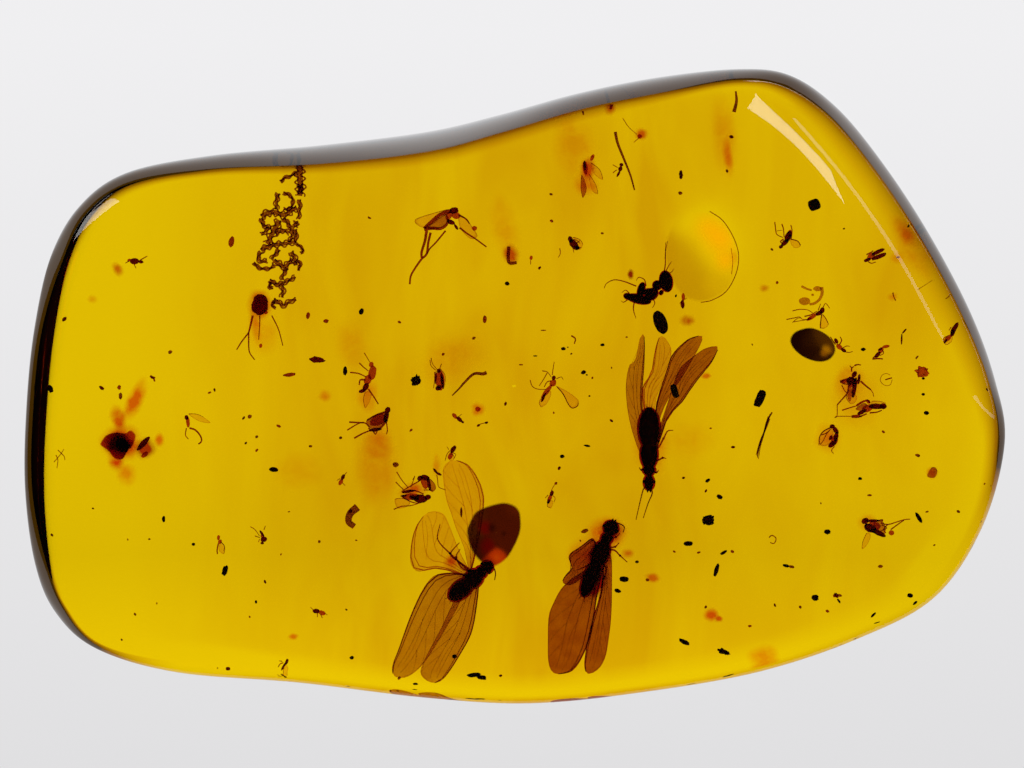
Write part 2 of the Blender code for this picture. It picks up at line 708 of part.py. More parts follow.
def make_stone(parts, material):
    """The two halves of the clear stone, with every pocket cut out of them."""
    stations = stone_stations()
    halves = (
        loft("amber_back", back_rings(stations), parts, material),
        loft("amber_front", front_rings(stations), parts, material),
    )
    for half in halves:
        cut = half.modifiers.new("pockets", "BOOLEAN")
        cut.operation = "DIFFERENCE"
        cut.operand_type = "COLLECTION"
        cut.collection = bpy.data.collections["pockets"]
        cut.solver = "EXACT"


def main():
    clear_scene()
    parts = make_collection(COLLECTION_NAME)
    operands = make_collection("operands")
    make_collection("pockets")
    chitin = make_material("chitin", CHITIN_COLOUR, 0.45)
    gnat_skin = make_material("gnat_skin", GNAT_COLOUR, 0.5)
    debris = make_material("debris", DEBRIS_COLOUR, 0.8)
    plant = make_material("plant_fibre", PLANT_COLOUR, 0.7)
    amber = make_material("amber", AMBER_COLOUR, 0.05, transmission=1.0)
    insects = [make_wasp(parts, operands, chitin)]
    for termite in (TERMITE_CENTRE, TERMITE_LOWER, TERMITE_LEFT):
        insects.append(make_termite(termite, parts, operands, chitin))
    for gnat in GNATS:
        insects.append(make_gnat(gnat, parts, operands, gnat_skin))
    for grain in GRAINS:
        make_grain(grain, parts, debris)
    make_strands(parts, plant)
    for trunk, limbs in insects:
        fuse(trunk, limbs)
    make_stone(parts, amber)


main()
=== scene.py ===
"""Looks for the insects in amber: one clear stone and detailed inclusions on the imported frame.

Lengths are in millimetres and MM turns them into metres. spot() turns a place in
the 1024 x 768 picture frame into X and Y in the stone: 16 steps to the millimetre,
with X = 0 at 514 and Y = 0 at 386.
"""

import math
import random

import bmesh
import bpy
from mathutils import Matrix, Vector, noise


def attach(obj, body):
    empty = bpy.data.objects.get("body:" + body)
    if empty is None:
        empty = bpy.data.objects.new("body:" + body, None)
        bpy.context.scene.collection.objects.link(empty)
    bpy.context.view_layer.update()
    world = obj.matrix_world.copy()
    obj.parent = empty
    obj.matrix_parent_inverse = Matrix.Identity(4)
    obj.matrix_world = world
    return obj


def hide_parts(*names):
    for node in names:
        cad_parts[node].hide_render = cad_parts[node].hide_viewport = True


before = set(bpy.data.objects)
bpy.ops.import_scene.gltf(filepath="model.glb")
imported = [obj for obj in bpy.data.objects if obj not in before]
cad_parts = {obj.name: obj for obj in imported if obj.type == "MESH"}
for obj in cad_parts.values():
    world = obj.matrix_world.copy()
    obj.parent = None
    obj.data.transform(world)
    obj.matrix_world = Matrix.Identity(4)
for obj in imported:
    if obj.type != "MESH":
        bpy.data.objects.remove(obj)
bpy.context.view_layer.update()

MM = 0.001
IOR = 1.54
# Absorption of the resin per metre in red, green and blue
ABSORPTION = (5.5, 41.0, 720.0)

# ---------------------------------------------------------------- small helpers


def spot(x, y):
    """X and Y in the stone of a place in the picture."""
    return (x - 514) / 16, (386 - y) / 16


def between(a, b, c, d, t):
    """The row at t, from 0 to 1, on the Catmull-Rom curve from row b to row c."""
    return tuple(
        q
        + (r - p) * t / 2
        + (2 * p - 5 * q + 4 * r - s) * t * t / 2
        + (3 * q - p - 3 * r + s) * t**3 / 2
        for p, q, r, s in zip(a, b, c, d)
    )


def smooth_closed(rows, steps):
    """Closed Catmull-Rom curve through rows of numbers."""
    count = len(rows)
    loop = []
    for index in range(count):
        a, b, c, d = (rows[(index + k) % count] for k in (-1, 0, 1, 2))
        loop += [between(a, b, c, d, step / steps) for step in range(steps)]
    return loop


def smooth_open(rows, steps):
    """Open Catmull-Rom curve through rows of numbers, ends included."""
    rows = [tuple(2 * p - q for p, q in zip(rows[0], rows[1])), *rows,
            tuple(2 * p - q for p, q in zip(rows[-1], rows[-2]))]
    line = []
    for index in range(1, len(rows) - 2):
        a, b, c, d = rows[index - 1:index + 3]
        line += [between(a, b, c, d, step / steps) for step in range(steps)]
    line.append(tuple(rows[-2]))
    return line


def resample(points, count):
    """count + 1 points at even steps along a line."""
    lengths = [0.0]
    for a, b in zip(points, points[1:]):
        lengths.append(lengths[-1] + (Vector(b) - Vector(a)).length)
    result, at = [], 0
    for k in range(count + 1):
        goal = lengths[-1] * k / count
        while at < len(points) - 2 and lengths[at + 1] < goal:
            at += 1
        span = max(lengths[at + 1] - lengths[at], 1e-9)
        share = min(max((goal - lengths[at]) / span, 0.0), 1.0)
        result.append(Vector(points[at]).lerp(Vector(points[at + 1]), share))
    return result


class Shape:
    """Points and faces of one piece, in millimetres, with a slot and a shade for each."""

    def __init__(self):
        self.points, self.faces, self.slots, self.shades = [], [], [], []

    def grid(self, rows, slot=0, wrap=True, caps=True, shades=None):
        """Joins rows of points into a sheet, or into a closed tube where it wraps and has caps."""
        start, across = len(self.points), len(rows[0])
        for i, row in enumerate(rows):
            for j, point in enumerate(row):
                self.points.append(tuple(point))
                self.shades.append(shades[i][j] if shades else 0.0)
        span = across if wrap else across - 1
        for i in range(len(rows) - 1):
            for j in range(span):
                k = (j + 1) % across
                a, b = start + i * across, start + (i + 1) * across
                self.faces.append((a + j, a + k, b + k, b + j))
                self.slots.append(slot)
        if wrap and caps:
            last = start + (len(rows) - 1) * across
            self.faces.append(tuple(start + j for j in reversed(range(across))))
            self.faces.append(tuple(last + j for j in range(across)))
            self.slots += [slot, slot]

    def tube(self, points, radius, slot=0, sides=6, end=None, steps=4):
        """A round bar through points. It tapers from radius to end."""
        end = radius if end is None else end
        line = smooth_open([tuple(p) for p in points], steps) if steps > 1 else points
        line = [Vector(p) for p in line]
        side = None
        rows = []
        for i, place in enumerate(line):
            run = (line[min(i + 1, len(line) - 1)] - line[max(i - 1, 0)]).normalized()
            if side is None:
                side = run.cross(Vector((0.31, 0.2, 0.93))).normalized()
            side = (side - run * side.dot(run)).normalized()
            over = run.cross(side)
            r = radius + (end - radius) * i / (len(line) - 1)
            rows.append([
                place + (side * math.cos(w) + over * math.sin(w)) * r
                for w in (2 * math.pi * k / sides for k in range(sides))
            ])
        self.grid(rows, slot)

    def lathe(self, place, profile, slot=0, sides=16):
        """A closed body around its own X. profile rows are along, half width, half height."""
        rows = [
            [place @ Vector((u, w * math.cos(t), h * math.sin(t)))
             for t in (2 * math.pi * k / sides for k in range(sides))]
            for u, w, h in profile
        ]
        self.grid([list(reversed(row)) for row in rows], slot)

    def ball(self, place, radii, slot=0, sides=10, rings=7):
        """An ellipsoid."""
        profile = []
        for k in range(rings + 1):
            t = math.pi * k / rings
            r = max(math.sin(t), 0.02)
            profile.append((-radii[0] * math.cos(t), radii[1] * r, radii[2] * r))
        self.lathe(place, profile, slot, sides)

    def lump(self, place, half, slot=0, rough=0.18, seed=0, sides=12, rings=9, boxy=1.0):
        """A weathered crumb: a ball pushed in and out by noise, squarer for a low boxy."""
        rows = []
        for k in range(rings + 1):
            t = math.pi * k / rings
            r = max(math.sin(t), 0.03)
            row = []
            for j in range(sides):
                w = 2 * math.pi * j / sides
                d = Vector((-math.cos(t), r * math.cos(w), r * math.sin(w)))
                push = 1 + rough * noise.noise(d * 2.1 + Vector((seed * 7.3, 0, 0)))
                push += rough * 0.5 * noise.noise(d * 5.3 + Vector((0, seed * 3.1, 0)))
                square = [math.copysign(abs(c) ** boxy, c) for c in d]
                row.append(place @ Vector([square[a] * half[a] * push for a in range(3)]))
            rows.append(list(reversed(row)))
        self.grid(rows, slot)

    def build(self, name, materials, replaced=(), record_slot=None):
        """Makes the object, on the body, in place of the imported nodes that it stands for."""
        mesh = bpy.data.meshes.new(name)
        mesh.from_pydata([Vector(p) * MM for p in self.points], [], self.faces)
        mesh.polygons.foreach_set("material_index", self.slots)
        mesh.polygons.foreach_set("use_smooth", [True] * len(self.faces))
        shade = mesh.attributes.new("shade", "FLOAT", "POINT")
        shade.data.foreach_set("value", self.shades)
        for m in materials:
            mesh.materials.append(m)
        mesh.update()
        item = bpy.data.objects.new(name, mesh)
        bpy.context.scene.collection.objects.link(item)
        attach(item, "root")
        if replaced:
            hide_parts(*replaced)
        return item


def frame_at(x, y, z, heading, pitch=0.0, roll=0.0):
    """A frame in millimetres whose X points along heading, in degrees."""
    turn = Matrix.Rotation(math.radians(heading), 4, "Z")
    turn = turn @ Matrix.Rotation(math.radians(pitch), 4, "Y")
    turn = turn @ Matrix.Rotation(math.radians(roll), 4, "X")
    return Matrix.Translation((x, y, z)) @ turn


# -------------------------------------------------------------------- materials


class Nodes:
    """Short ways to add shader nodes to one material."""

    def __init__(self, name):
        self.material = bpy.data.materials.new(name)
        self.material.use_nodes = True
        self.tree = self.material.node_tree
        self.shader = self.tree.nodes["Principled BSDF"]
        self.output = self.tree.nodes["Material Output"]
        self.coords = self.add("ShaderNodeTexCoord").outputs["Object"]

    def add(self, kind, **values):
        made = self.tree.nodes.new(kind)
        for key, value in values.items():
            setattr(made, key, value)
        return made

    def link(self, a, b):
        self.tree.links.new(a, b)

    def noise(self, size, detail=4.0, roughness=0.55, distortion=0.0, stretch=None):
        """Noise whose features are about size millimetres across."""
        coords = self.coords
        if stretch:
            scaled = self.add("ShaderNodeVectorMath", operation="MULTIPLY")
            scaled.inputs[1].default_value = stretch
            self.link(coords, scaled.inputs[0])
            coords = scaled.outputs[0]
        made = self.add("ShaderNodeTexNoise")
        made.inputs["Scale"].default_value = 1 / (size * MM)
        made.inputs["Detail"].default_value = detail
        made.inputs["Roughness"].default_value = roughness
        made.inputs["Distortion"].default_value = distortion
        self.link(coords, made.inputs["Vector"])
        return made.outputs["Fac"]

    def ramp(self, source, stops):
        """Colours at places from 0 to 1 along source."""
        made = self.add("ShaderNodeValToRGB")
        bands = made.color_ramp.elements
        while len(bands) < len(stops):
            bands.new(0.5)
        for band, (place, colour) in zip(bands, stops):
            band.position = place
            band.color = (*colour, 1.0)
        self.link(source, made.inputs["Fac"])
        return made.outputs["Color"]

    def spread(self, source, low, high, start=0.3, stop=0.7):
        """source from start to stop as a number from low to high."""
        made = self.add("ShaderNodeMapRange")
        for key, value in zip(("From Min", "From Max", "To Min", "To Max"),
                              (start, stop, low, high)):
            made.inputs[key].default_value = value
        self.link(source, made.inputs["Value"])
        return made.outputs["Result"]

    def maths(self, operation, a, b):
        """A sum on a and b, each a number or a socket."""
        made = self.add("ShaderNodeMath", operation=operation)
        for socket, value in zip(made.inputs, (a, b)):
            if isinstance(value, (int, float)):
                socket.default_value = value
            else:
                self.link(value, socket)
        return made.outputs[0]

    def blend(self, share, a, b):
        """Colours a and b mixed by share."""
        made = self.add("ShaderNodeMix", data_type="RGBA")
        for socket, value in ((made.inputs[0], share), (made.inputs[6], a), (made.inputs[7], b)):
            if isinstance(value, tuple):
                socket.default_value = (*value, 1.0)
            else:
                self.link(value, socket)
        return made.outputs[2]

    def attribute(self, name):
        return self.add("ShaderNodeAttribute", attribute_name=name)

    def bump(self, source, height, strength=1.0):
        """Relief of about height millimetres."""
        made = self.add("ShaderNodeBump")
        made.inputs["Strength"].default_value = strength
        made.inputs["Distance"].default_value = height * MM
        self.link(source, made.inputs["Height"])
        self.link(made.outputs["Normal"], self.shader.inputs["Normal"])

    def see_through(self, solid, tint):
        """Shows the shader by the share solid, and what is behind it in tint for the rest."""
        clear = self.add("ShaderNodeBsdfTransparent")
        mix = self.add("ShaderNodeMixShader")
        self.link(tint, clear.inputs["Color"])
        self.link(solid, mix.inputs[0])
        self.link(clear.outputs[0], mix.inputs[1])
        self.link(self.shader.outputs[0], mix.inputs[2])
        self.link(mix.outputs[0], self.output.inputs["Surface"])


def amber_material():
    """Clear resin. The shade attribute darkens the side wall and the front near the rim:
    partly a weathered rind, partly painted shade that stands in for the dark band at the rim.
    """
    n = Nodes("amber")
    s = n.shader.inputs
    skin = n.attribute("shade").outputs["Fac"]
    rind_and_shade = n.maths("MULTIPLY", skin, n.spread(n.noise(3.0, 1.0), 0.97, 1.03))
    # The ramp takes the rind and painted shade from clear through brown to near black.
    n.link(n.ramp(rind_and_shade, [(0.0, (1.0, 1.0, 1.0)), (0.3, (0.72, 0.55, 0.4)),
                           (0.7, (0.2, 0.08, 0.03)), (0.97, (0.004, 0.0016, 0.0006))]),
           s["Base Color"])
    s["Transmission Weight"].default_value = 1.0
    s["IOR"].default_value = IOR
    n.link(n.spread(n.noise(4.0, 1.0), 0.0, 0.012), s["Roughness"])
    n.bump(n.noise(5.0, 1.0, 0.4), 0.004, 0.6)
    density = max(ABSORPTION) * 1.02
    inside = n.add("ShaderNodeVolumeAbsorption")
    inside.inputs["Density"].default_value = density
    inside.inputs["Color"].default_value = (*(1 - a / density for a in ABSORPTION), 1.0)
    n.link(inside.outputs[0], n.output.inputs["Volume"])
    return n.material


def skin_material(name, dark, warm, roughness, grain):
    """Solid insect skin: dark with warmer patches, finely pitted and a little glossy."""
    n = Nodes(name)
    s = n.shader.inputs
    n.link(n.ramp(n.noise(grain, 5.0), [(0.35, dark), (0.6, warm), (0.72, dark)]),
           s["Base Color"])
    n.link(n.spread(n.noise(grain * 0.4), roughness - 0.1, roughness + 0.15), s["Roughness"])
    n.bump(n.noise(grain * 0.2), grain * 0.05, 0.5)
    return n.material


def film_material(name, tint, colour, solid, grain=0.5):
    """A thin skin that light passes through. The shade attribute makes it deeper."""
    deep = (0.5, 0.1, 0.02)
    n = Nodes(name)
    s = n.shader.inputs
    shade = n.attribute("shade").outputs["Fac"]
    patches = n.spread(n.noise(grain, 4.0), 0.0, 1.0)
    n.link(n.blend(patches, colour, tuple(c * 0.6 for c in colour)), s["Base Color"])
    n.link(n.spread(n.noise(grain * 0.3), 0.25, 0.45), s["Roughness"])
    share = n.maths("MULTIPLY", patches, solid * 0.5)
    share = n.maths("ADD", share, solid * 0.75)
    share = n.maths("ADD", share, n.maths("MULTIPLY", shade, 0.35))
    tinted = n.blend(shade, n.blend(patches, tint, tuple(c**1.25 for c in tint)), deep)
    n.see_through(n.maths("MINIMUM", share, 0.98), tinted)
    return n.material


def crumb_material(name, dark, warm, size=0.25):
    """Solid matt crumbs, rough all over."""
    n = Nodes(name)
    s = n.shader.inputs
    n.link(n.ramp(n.noise(size, 6.0, 0.65), [(0.4, dark), (0.68, warm)]), s["Base Color"])
    n.link(n.spread(n.noise(size * 0.5), 0.6, 0.95), s["Roughness"])
    n.bump(n.noise(size * 0.3, 6.0), size * 0.15, 0.9)
    return n.material


def stain_material(name, ragged_size, low, high, stretch=(1.0, 1.0, 1.0)):
    """A soft coloured cloud: tints what is behind it, and shines with a painted glow where the glow
    attribute is.
    """
    n = Nodes(name)
    tint = n.attribute("tint").outputs["Color"]
    shade = n.attribute("shade").outputs["Fac"]
    ragged = n.spread(n.noise(ragged_size, 3.0, 0.6, 0.6, stretch), low, high)
    share = n.maths("MINIMUM", n.maths("MULTIPLY", shade, ragged), 1.0)
    n.link(tint, n.shader.inputs["Base Color"])
    n.shader.inputs["Roughness"].default_value = 0.8
    # Painted glow: an orange emission, where the glow attribute is, that stands in for light the
    # cracks reflect.
    n.shader.inputs["Emission Color"].default_value = (1.0, 0.36, 0.0, 1.0)
    n.shader.inputs["Emission Strength"].default_value = 1.2
    n.material.cycles.emission_sampling = "NONE"
    n.see_through(n.attribute("glow").outputs["Fac"], n.blend(share, (1.0, 1.0, 1.0), tint))
    return n.material


MATERIALS = {
    "amber": amber_material(),
    "core": skin_material("insect_core", (0.012, 0.004, 0.002), (0.06, 0.014, 0.003), 0.4, 0.5),
    "cuticle": film_material("insect_cuticle", (0.72, 0.16, 0.02), (0.10, 0.02, 0.004), 0.2),
    "gnat": film_material("gnat_skin", (0.82, 0.36, 0.06), (0.12, 0.02, 0.002), 0.2, 0.22),
    "gnat_dark": film_material("gnat_dark", (0.5, 0.11, 0.015), (0.035, 0.007, 0.001), 0.36, 0.16),
    "limb": film_material("insect_limb", (0.72, 0.3, 0.07), (0.08, 0.018, 0.002), 0.28, 0.2),
    "wing": film_material("wing_orange", (0.76, 0.5, 0.26), (0.2, 0.08, 0.015), 0.15, 0.8),
    "wing_pale": film_material("wing_pale", (0.95, 0.76, 0.5), (0.42, 0.22, 0.05), 0.06, 0.6),
    "wing_deep": film_material("wing_deep", (0.66, 0.32, 0.1), (0.15, 0.045, 0.006), 0.22, 0.8),
    "wing_lower": film_material("wing_lower", (0.56, 0.22, 0.05), (0.15, 0.035, 0.005), 0.2, 0.8),
    "vein": film_material("wing_vein", (0.62, 0.25, 0.06), (0.10, 0.025, 0.004), 0.16, 0.3),
    "vein_pale": film_material("vein_pale", (0.8, 0.46, 0.16), (0.2, 0.06, 0.01), 0.1, 0.3),
    "debris": film_material("debris", (0.16, 0.015, 0.002), (0.03, 0.008, 0.002), 0.7, 0.25),
    "brown": crumb_material("debris_brown", (0.03, 0.009, 0.002), (0.16, 0.05, 0.008)),
    "plant": film_material("plant_fibre", (0.75, 0.42, 0.16), (0.12, 0.045, 0.01), 0.4, 0.3),
    "frill": film_material("frilled_skin", (0.66, 0.42, 0.2), (0.08, 0.035, 0.005), 0.2, 0.4),
    "husk": film_material("husk", (0.86, 0.64, 0.3), (0.3, 0.14, 0.01), 0.16, 0.3),
    "stain": stain_material("stain", 0.9, 0.6, 1.35),
    "fissure": stain_material("fissure", 0.4, 1.0, 1.2),
    "flow": stain_material("flow", 5.0, 0.5, 1.3, (1.0, 0.3, 1.0)),
}


# ------------------------------------------------------------------- the stone

# Per station: x, y, inset of the wall at the front, its slope there in degrees and how late it
# bends, reach of the back edge and its fullness (1 cuts it straight, 2 rounds it), radius of
# the front edge, drop of the rim, darkness of the wall's skin and how far it fades inwards; the
# darkness is partly a weathered rind and partly painted shade of the dark rim
OUTLINE = (
    (30.58, -3.6, 0.36, 46.0, 1.8, 0.9, 2.0, 0.2, 0.1, 1.2, 0.9),
    (30.04, 0.29, 0.42, 24.0, 1.8, 0.9, 2.0, 0.2, 0.28, 1.0, 1.4),
    (28.55, 4.48, 0.56, 27.0, 1.8, 0.9, 2.0, 0.2, 0.35, 1.0, 1.5),
    (26.1, 9.2, 0.6, 27.0, 2.0, 0.9, 2.0, 0.2, 0.35, 1.0, 1.5),
    (23.28, 13.58, 0.66, 26.0, 1.8, 0.9, 2.0, 0.2, 0.35, 1.0, 1.4),
    (20.24, 17.33, 0.7, 28.0, 2.2, 1.0, 2.0, 0.2, 0.35, 1.1, 1.2),
    (17.25, 19.4, 0.75, 48.0, 5.0, 1.0, 2.0, 0.2, 0.25, 1.3, 0.7),
    (14.0, 19.8, 0.6, 30.0, 3.0, 1.2, 2.0, 0.25, 0.1, 1.2, 0.5),
    (9.0, 19.33, 1.04, 33.0, 5.0, 1.4, 2.0, 0.25, 0.0, 1.0, 0.6),
    (3.99, 18.34, 1.08, 30.0, 4.4, 1.5, 2.0, 0.25, 0.0, 1.0, 0.75),
    (-0.99, 17.0, 1.18, 21.5, 2.9, 1.5, 2.0, 0.25, 0.0, 1.0, 0.75),
    (-5.5, 15.96, 1.32, 21.0, 2.6, 1.5, 2.0, 0.25, 0.0, 1.0, 0.75),
    (-12.0, 15.12, 1.24, 28.0, 3.8, 1.5, 2.0, 0.25, 0.0, 1.0, 0.65),
    (-19.0, 14.42, 0.88, 38.0, 8.0, 1.8, 1.8, 0.25, 0.04, 1.1, 0.5),
    (-24.26, 13.3, 0.64, 46.0, 9.0, 2.2, 1.4, 0.25, 0.22, 1.5, 0.75),
    (-27.17, 11.17, 0.6, 50.0, 6.0, 2.3, 1.3, 0.25, 0.25, 1.5, 0.75),
    (-28.9, 8.04, 0.74, 47.0, 1.6, 2.3, 1.25, 0.2, 0.2, 1.5, 0.6),
    (-29.92, 3.47, 0.46, 54.0, 2.6, 2.2, 1.25, 0.2, 0.06, 1.5, 0.55),
    (-30.4, -1.5, 0.42, 58.0, 2.8, 2.1, 1.25, 0.2, 0.0, 1.5, 0.5),
    (-30.47, -6.5, 0.42, 57.0, 2.8, 1.95, 1.25, 0.2, 0.0, 1.5, 0.4),
    (-29.85, -11.14, 0.62, 47.0, 2.0, 1.7, 1.35, 0.2, 0.0, 1.4, 0.3),
    (-28.56, -14.19, 0.55, 36.0, 2.2, 0.8, 1.6, 0.2, 0.0, 1.2, 0.1),
    (-25.95, -16.4, 0.18, 38.0, 1.6, 0.5, 1.9, 0.2, 0.05, 1.0, 0.04),
    (-20.99, -17.84, 0.02, 20.0, 1.6, 0.5, 2.0, 0.6, 0.1, 0.0, 0.05),
    (-13.39, -18.48, 0.02, 20.0, 1.6, 0.5, 2.0, 0.6, 0.05, 0.0, 0.05),
    (-5.5, -19.42, 0.02, 20.0, 1.6, 0.5, 2.0, 0.6, 0.0, 0.0, 0.05),
    (1.0, -19.77, 0.02, 20.0, 1.6, 0.5, 2.0, 0.6, 0.0, 0.0, 0.05),
    (8.0, -19.08, 0.02, 20.0, 1.6, 0.5, 2.0, 0.6, 0.0, 0.0, 0.05),
    (15.28, -17.8, 0.02, 20.0, 1.6, 0.5, 2.0, 0.6, 0.0, 0.0, 0.05),
    (21.47, -15.73, 0.02, 20.0, 1.6, 0.5, 2.0, 0.7, 0.05, 0.0, 0.05),
    (26.24, -13.14, 0.02, 20.0, 1.6, 0.6, 2.0, 0.8, 0.15, 0.0, 0.05),
    (29.2, -8.76, 0.1, 24.0, 1.6, 0.8, 2.0, 0.6, 0.15, 0.3, 0.3),
)
RIM = 11.2  # height of the rim
CROWN = 0.68  # how far the front is domed above it
INSIDE = 0.9985  # keeps the outline inside the CAD's box
BACK_SHARES = (0.0, 0.35, 0.7, 0.9, 0.97)  # rings of the back, against its edge
BACK_STEPS, BEND_STEPS, FRONT_STEPS = 20, 16, 8  # rings of the back edge, bend and front edge
FRONT_RIND_AND_SHADE = 0.68  # darkness of the rind and painted shade where the front begins, against the wall's
ROLL_OFF = 0.14  # share of the front over which the drop of the rim is spread
FRONT_SHARES = (0.996, 0.992, 0.988, 0.984, 0.98, 0.975, 0.97, 0.96, 0.95, 0.94, 0.92, 0.9,
                0.88, 0.86, 0.83, 0.8, 0.75, 0.7, 0.6, 0.5, 0.4, 0.3, 0.2, 0.1, 0.0)


def stone_stations():
    """The wall at each point of the outline: its place, its way out and its heights."""
    loop = smooth_closed(OUTLINE, 10)
    stations = []
    for index, row in enumerate(loop):
        after, before = loop[(index + 1) % len(loop)], loop[index - 1]
        out = Vector((after[1] - before[1], before[0] - after[0])).normalized()
        inset, slope, bend, reach, full, front, drop, skin, fade = (max(v, 0.0) for v in row[2:])
        lean = math.radians(slope)
        top = RIM - drop
        bevel = top - front * (1 - math.sin(lean))
        shoulder = max(bevel - inset * bend / math.tan(lean), reach + 0.2)
        stations.append(dict(
            at=Vector(row[:2]) * INSIDE, out=out, inset=inset, bend=bend, reach=reach, full=full,
            front=front, top=top, lean=lean, bevel=bevel, shoulder=shoulder, skin=skin,
            fade=max(fade, 0.01)))
    return stations


def stone():
    """The clear stone: rings from the middle of the back, up the wall, to the front's middle."""
    stations = stone_stations()
    rows, shades = [], []

    def ring(inset, height, shade):
        """One row of points: inset and height in the stone, and the shade of its skin: rind and
        painted shade.
        """
        rows.append([(*(s["at"] - s["out"] * inset(s)), height(s)) for s in stations])
        shades.append([min(shade * s["skin"], 1.0) for s in stations])

    for share in BACK_SHARES:
        rows.append([(*((s["at"] - s["out"] * s["reach"]) * share), 0.0) for s in stations])
        shades.append([0.0] * len(stations))
    # Up from the middle of the back edge, over the wall and the front edge, the skin is darkened:
    # partly a weathered rind, partly painted shade of the dark rim.
    for k in range(BACK_STEPS + 1):
        w = math.radians(90 * k / BACK_STEPS)
        ring(lambda s: s["reach"] * (1 - math.sin(w) ** (2 / s["full"])),
             lambda s: s["reach"] * (1 - max(math.cos(w), 0.0) ** (2 / s["full"])),
             max(0.0, 2 * k / BACK_STEPS - 1))
    for t in (0.25, 0.5, 0.75, 1.0):
        ring(lambda s: 0.0, lambda s: s["reach"] + (s["shoulder"] - s["reach"]) * t, 1.0)
    for k in range(1, BEND_STEPS + 1):
        t = k / BEND_STEPS
        ring(lambda s: s["inset"] * t ** s["bend"],
             lambda s: s["shoulder"] + (s["bevel"] - s["shoulder"]) * t, 1.0)
    for k in range(1, FRONT_STEPS + 1):

        def turn(s):
            """How far over the front edge has turned, in radians."""
            return s["lean"] + (math.pi / 2 - s["lean"]) * k / FRONT_STEPS

        ring(lambda s: s["inset"] + s["front"] * (math.cos(s["lean"]) - math.cos(turn(s))),
             lambda s: s["top"] - s["front"] * (1 - math.sin(turn(s))),
             1 - (1 - FRONT_RIND_AND_SHADE) * k / FRONT_STEPS)
    edge = rows[-1]
    for share in FRONT_SHARES:
        crown = CROWN * (1 - share * share)
        step = 1 - max(share - (1 - ROLL_OFF), 0.0) ** 2 / ROLL_OFF**2
        rows.append([(x * share, y * share, z + crown + (RIM - z) * step) for x, y, z in edge])
        # Painted shade on the front, darkest at the rim and fading inwards over each station's fade.
        shades.append([
            min(FRONT_RIND_AND_SHADE * s["skin"], 1.0)
            * max(0.0, 1 - (1 - share) * s["at"].length / s["fade"])
            for s in stations])
    shape = Shape()
    shape.grid(rows, caps=False, shades=shades)
    item = shape.build("amber_stone", [MATERIALS["amber"]], ("amber_back", "amber_front"), "amber")
    bm = bmesh.new()
    bm.from_mesh(item.data)
    bmesh.ops.remove_doubles(bm, verts=bm.verts[:], dist=0.001 * MM)
    bmesh.ops.recalc_face_normals(bm, faces=bm.faces[:])
    for face in bm.faces:
        face.smooth = True
    bm.to_mesh(item.data)
    bm.free()


# --------------------------------------------------------------------- insects


def envelope(bodies, swell, rings):
    """Profile around a row of rounded parts, with the fine rings of a segmented body."""
    steps = 64
    low = min(u - a for u, a, w, h in bodies)
    high = max(u + a for u, a, w, h in bodies)
    profile = []
    for k in range(steps + 1):
        u = low + (high - low) * (0.5 - 0.5 * math.cos(math.pi * k / steps))
        width = height = 0.0
        for centre, a, w, h in bodies:
            inside = 1 - ((u - centre) / a) ** 2
            if inside > 0:
                width = max(width, w * math.sqrt(inside))
                height = max(height, h * math.sqrt(inside))
        centre, a, w, h = bodies[0]
        groove = 1.0
        if u < centre + a * 0.75:
            groove -= rings * (0.5 + 0.5 * math.cos(9 * math.pi * (u - low) / a))
        least = 0.03 * w
        profile.append((u, max(width * groove, least) + swell, max(height * groove, least) + swell))
    return profile


def wing_sheet(shape, outline, z_root, z_tip, slot, vein_slot, veins, ripple=0.03, shade=0.0,
               flip=False, count=30, across=11):
    """A wing between its two edges from the root, outline[0], to the farthest point."""
    loop = smooth_closed(outline, 5)
    root = Vector(loop[0])
    tip = max(range(len(loop)), key=lambda k: (Vector(loop[k]) - root).length)
    sides = [resample(loop[:tip + 1], count), resample([loop[0]] + loop[:tip - 1:-1], count)]
    if flip:
        sides.reverse()

    def at(t, v):
        f = min(max(t, 0.0), 1.0) * count
        i = min(int(f), count - 1)
        a = sides[0][i].lerp(sides[0][i + 1], f - i)
        b = sides[1][i].lerp(sides[1][i + 1], f - i)
        place = a.lerp(b, v)
        lift = ripple * math.sin(t * 7 + v * 3) + ripple * 0.6 * math.sin(v * 19)
        return (*place, z_root + (z_tip - z_root) * t + lift * min(1.0, 4 * t))

    rows, shades = [], []
    for i in range(count + 1):
        t = 0.006 + 0.988 * i / count
        rows.append([at(t, j / (across - 1)) for j in range(across)])
        shades.append([
            min(1.0, shade + 0.5 * max(0.0, 1 - t * 4) + 0.3 * max(0.0, 1 - 9 * j / (across - 1)))
            for j in range(across)
        ])
    shape.grid(rows, slot, wrap=False, caps=False, shades=shades)
    for width, route in veins:
        fine = smooth_open(route, 5)
        shape.tube([at(t, v) for t, v in fine], width, vein_slot, 5, width * 0.5, steps=1)


TERMITE_VEINS = (
    (0.05, ((0.01, 0.03), (0.5, 0.02), (0.97, 0.03))),
    (0.035, ((0.01, 0.12), (0.4, 0.12), (0.8, 0.09), (0.96, 0.06))),
    (0.018, ((0.02, 0.3), (0.3, 0.34), (0.6, 0.36), (0.9, 0.3))),
    (0.018, ((0.02, 0.45), (0.3, 0.52), (0.6, 0.58), (0.92, 0.6))),
    (0.013, ((0.12, 0.5), (0.22, 0.7), (0.3, 0.97))),
    (0.013, ((0.25, 0.53), (0.36, 0.75), (0.46, 0.98))),
    (0.013, ((0.4, 0.55), (0.5, 0.76), (0.62, 0.98))),
    (0.013, ((0.55, 0.57), (0.65, 0.78), (0.76, 0.98))),
    (0.012, ((0.5, 0.34), (0.65, 0.45), (0.85, 0.44))),
    (0.012, ((0.7, 0.58), (0.78, 0.76), (0.87, 0.97))),
    (0.012, ((0.02, 0.98), (0.5, 0.985), (0.97, 0.97))),
)

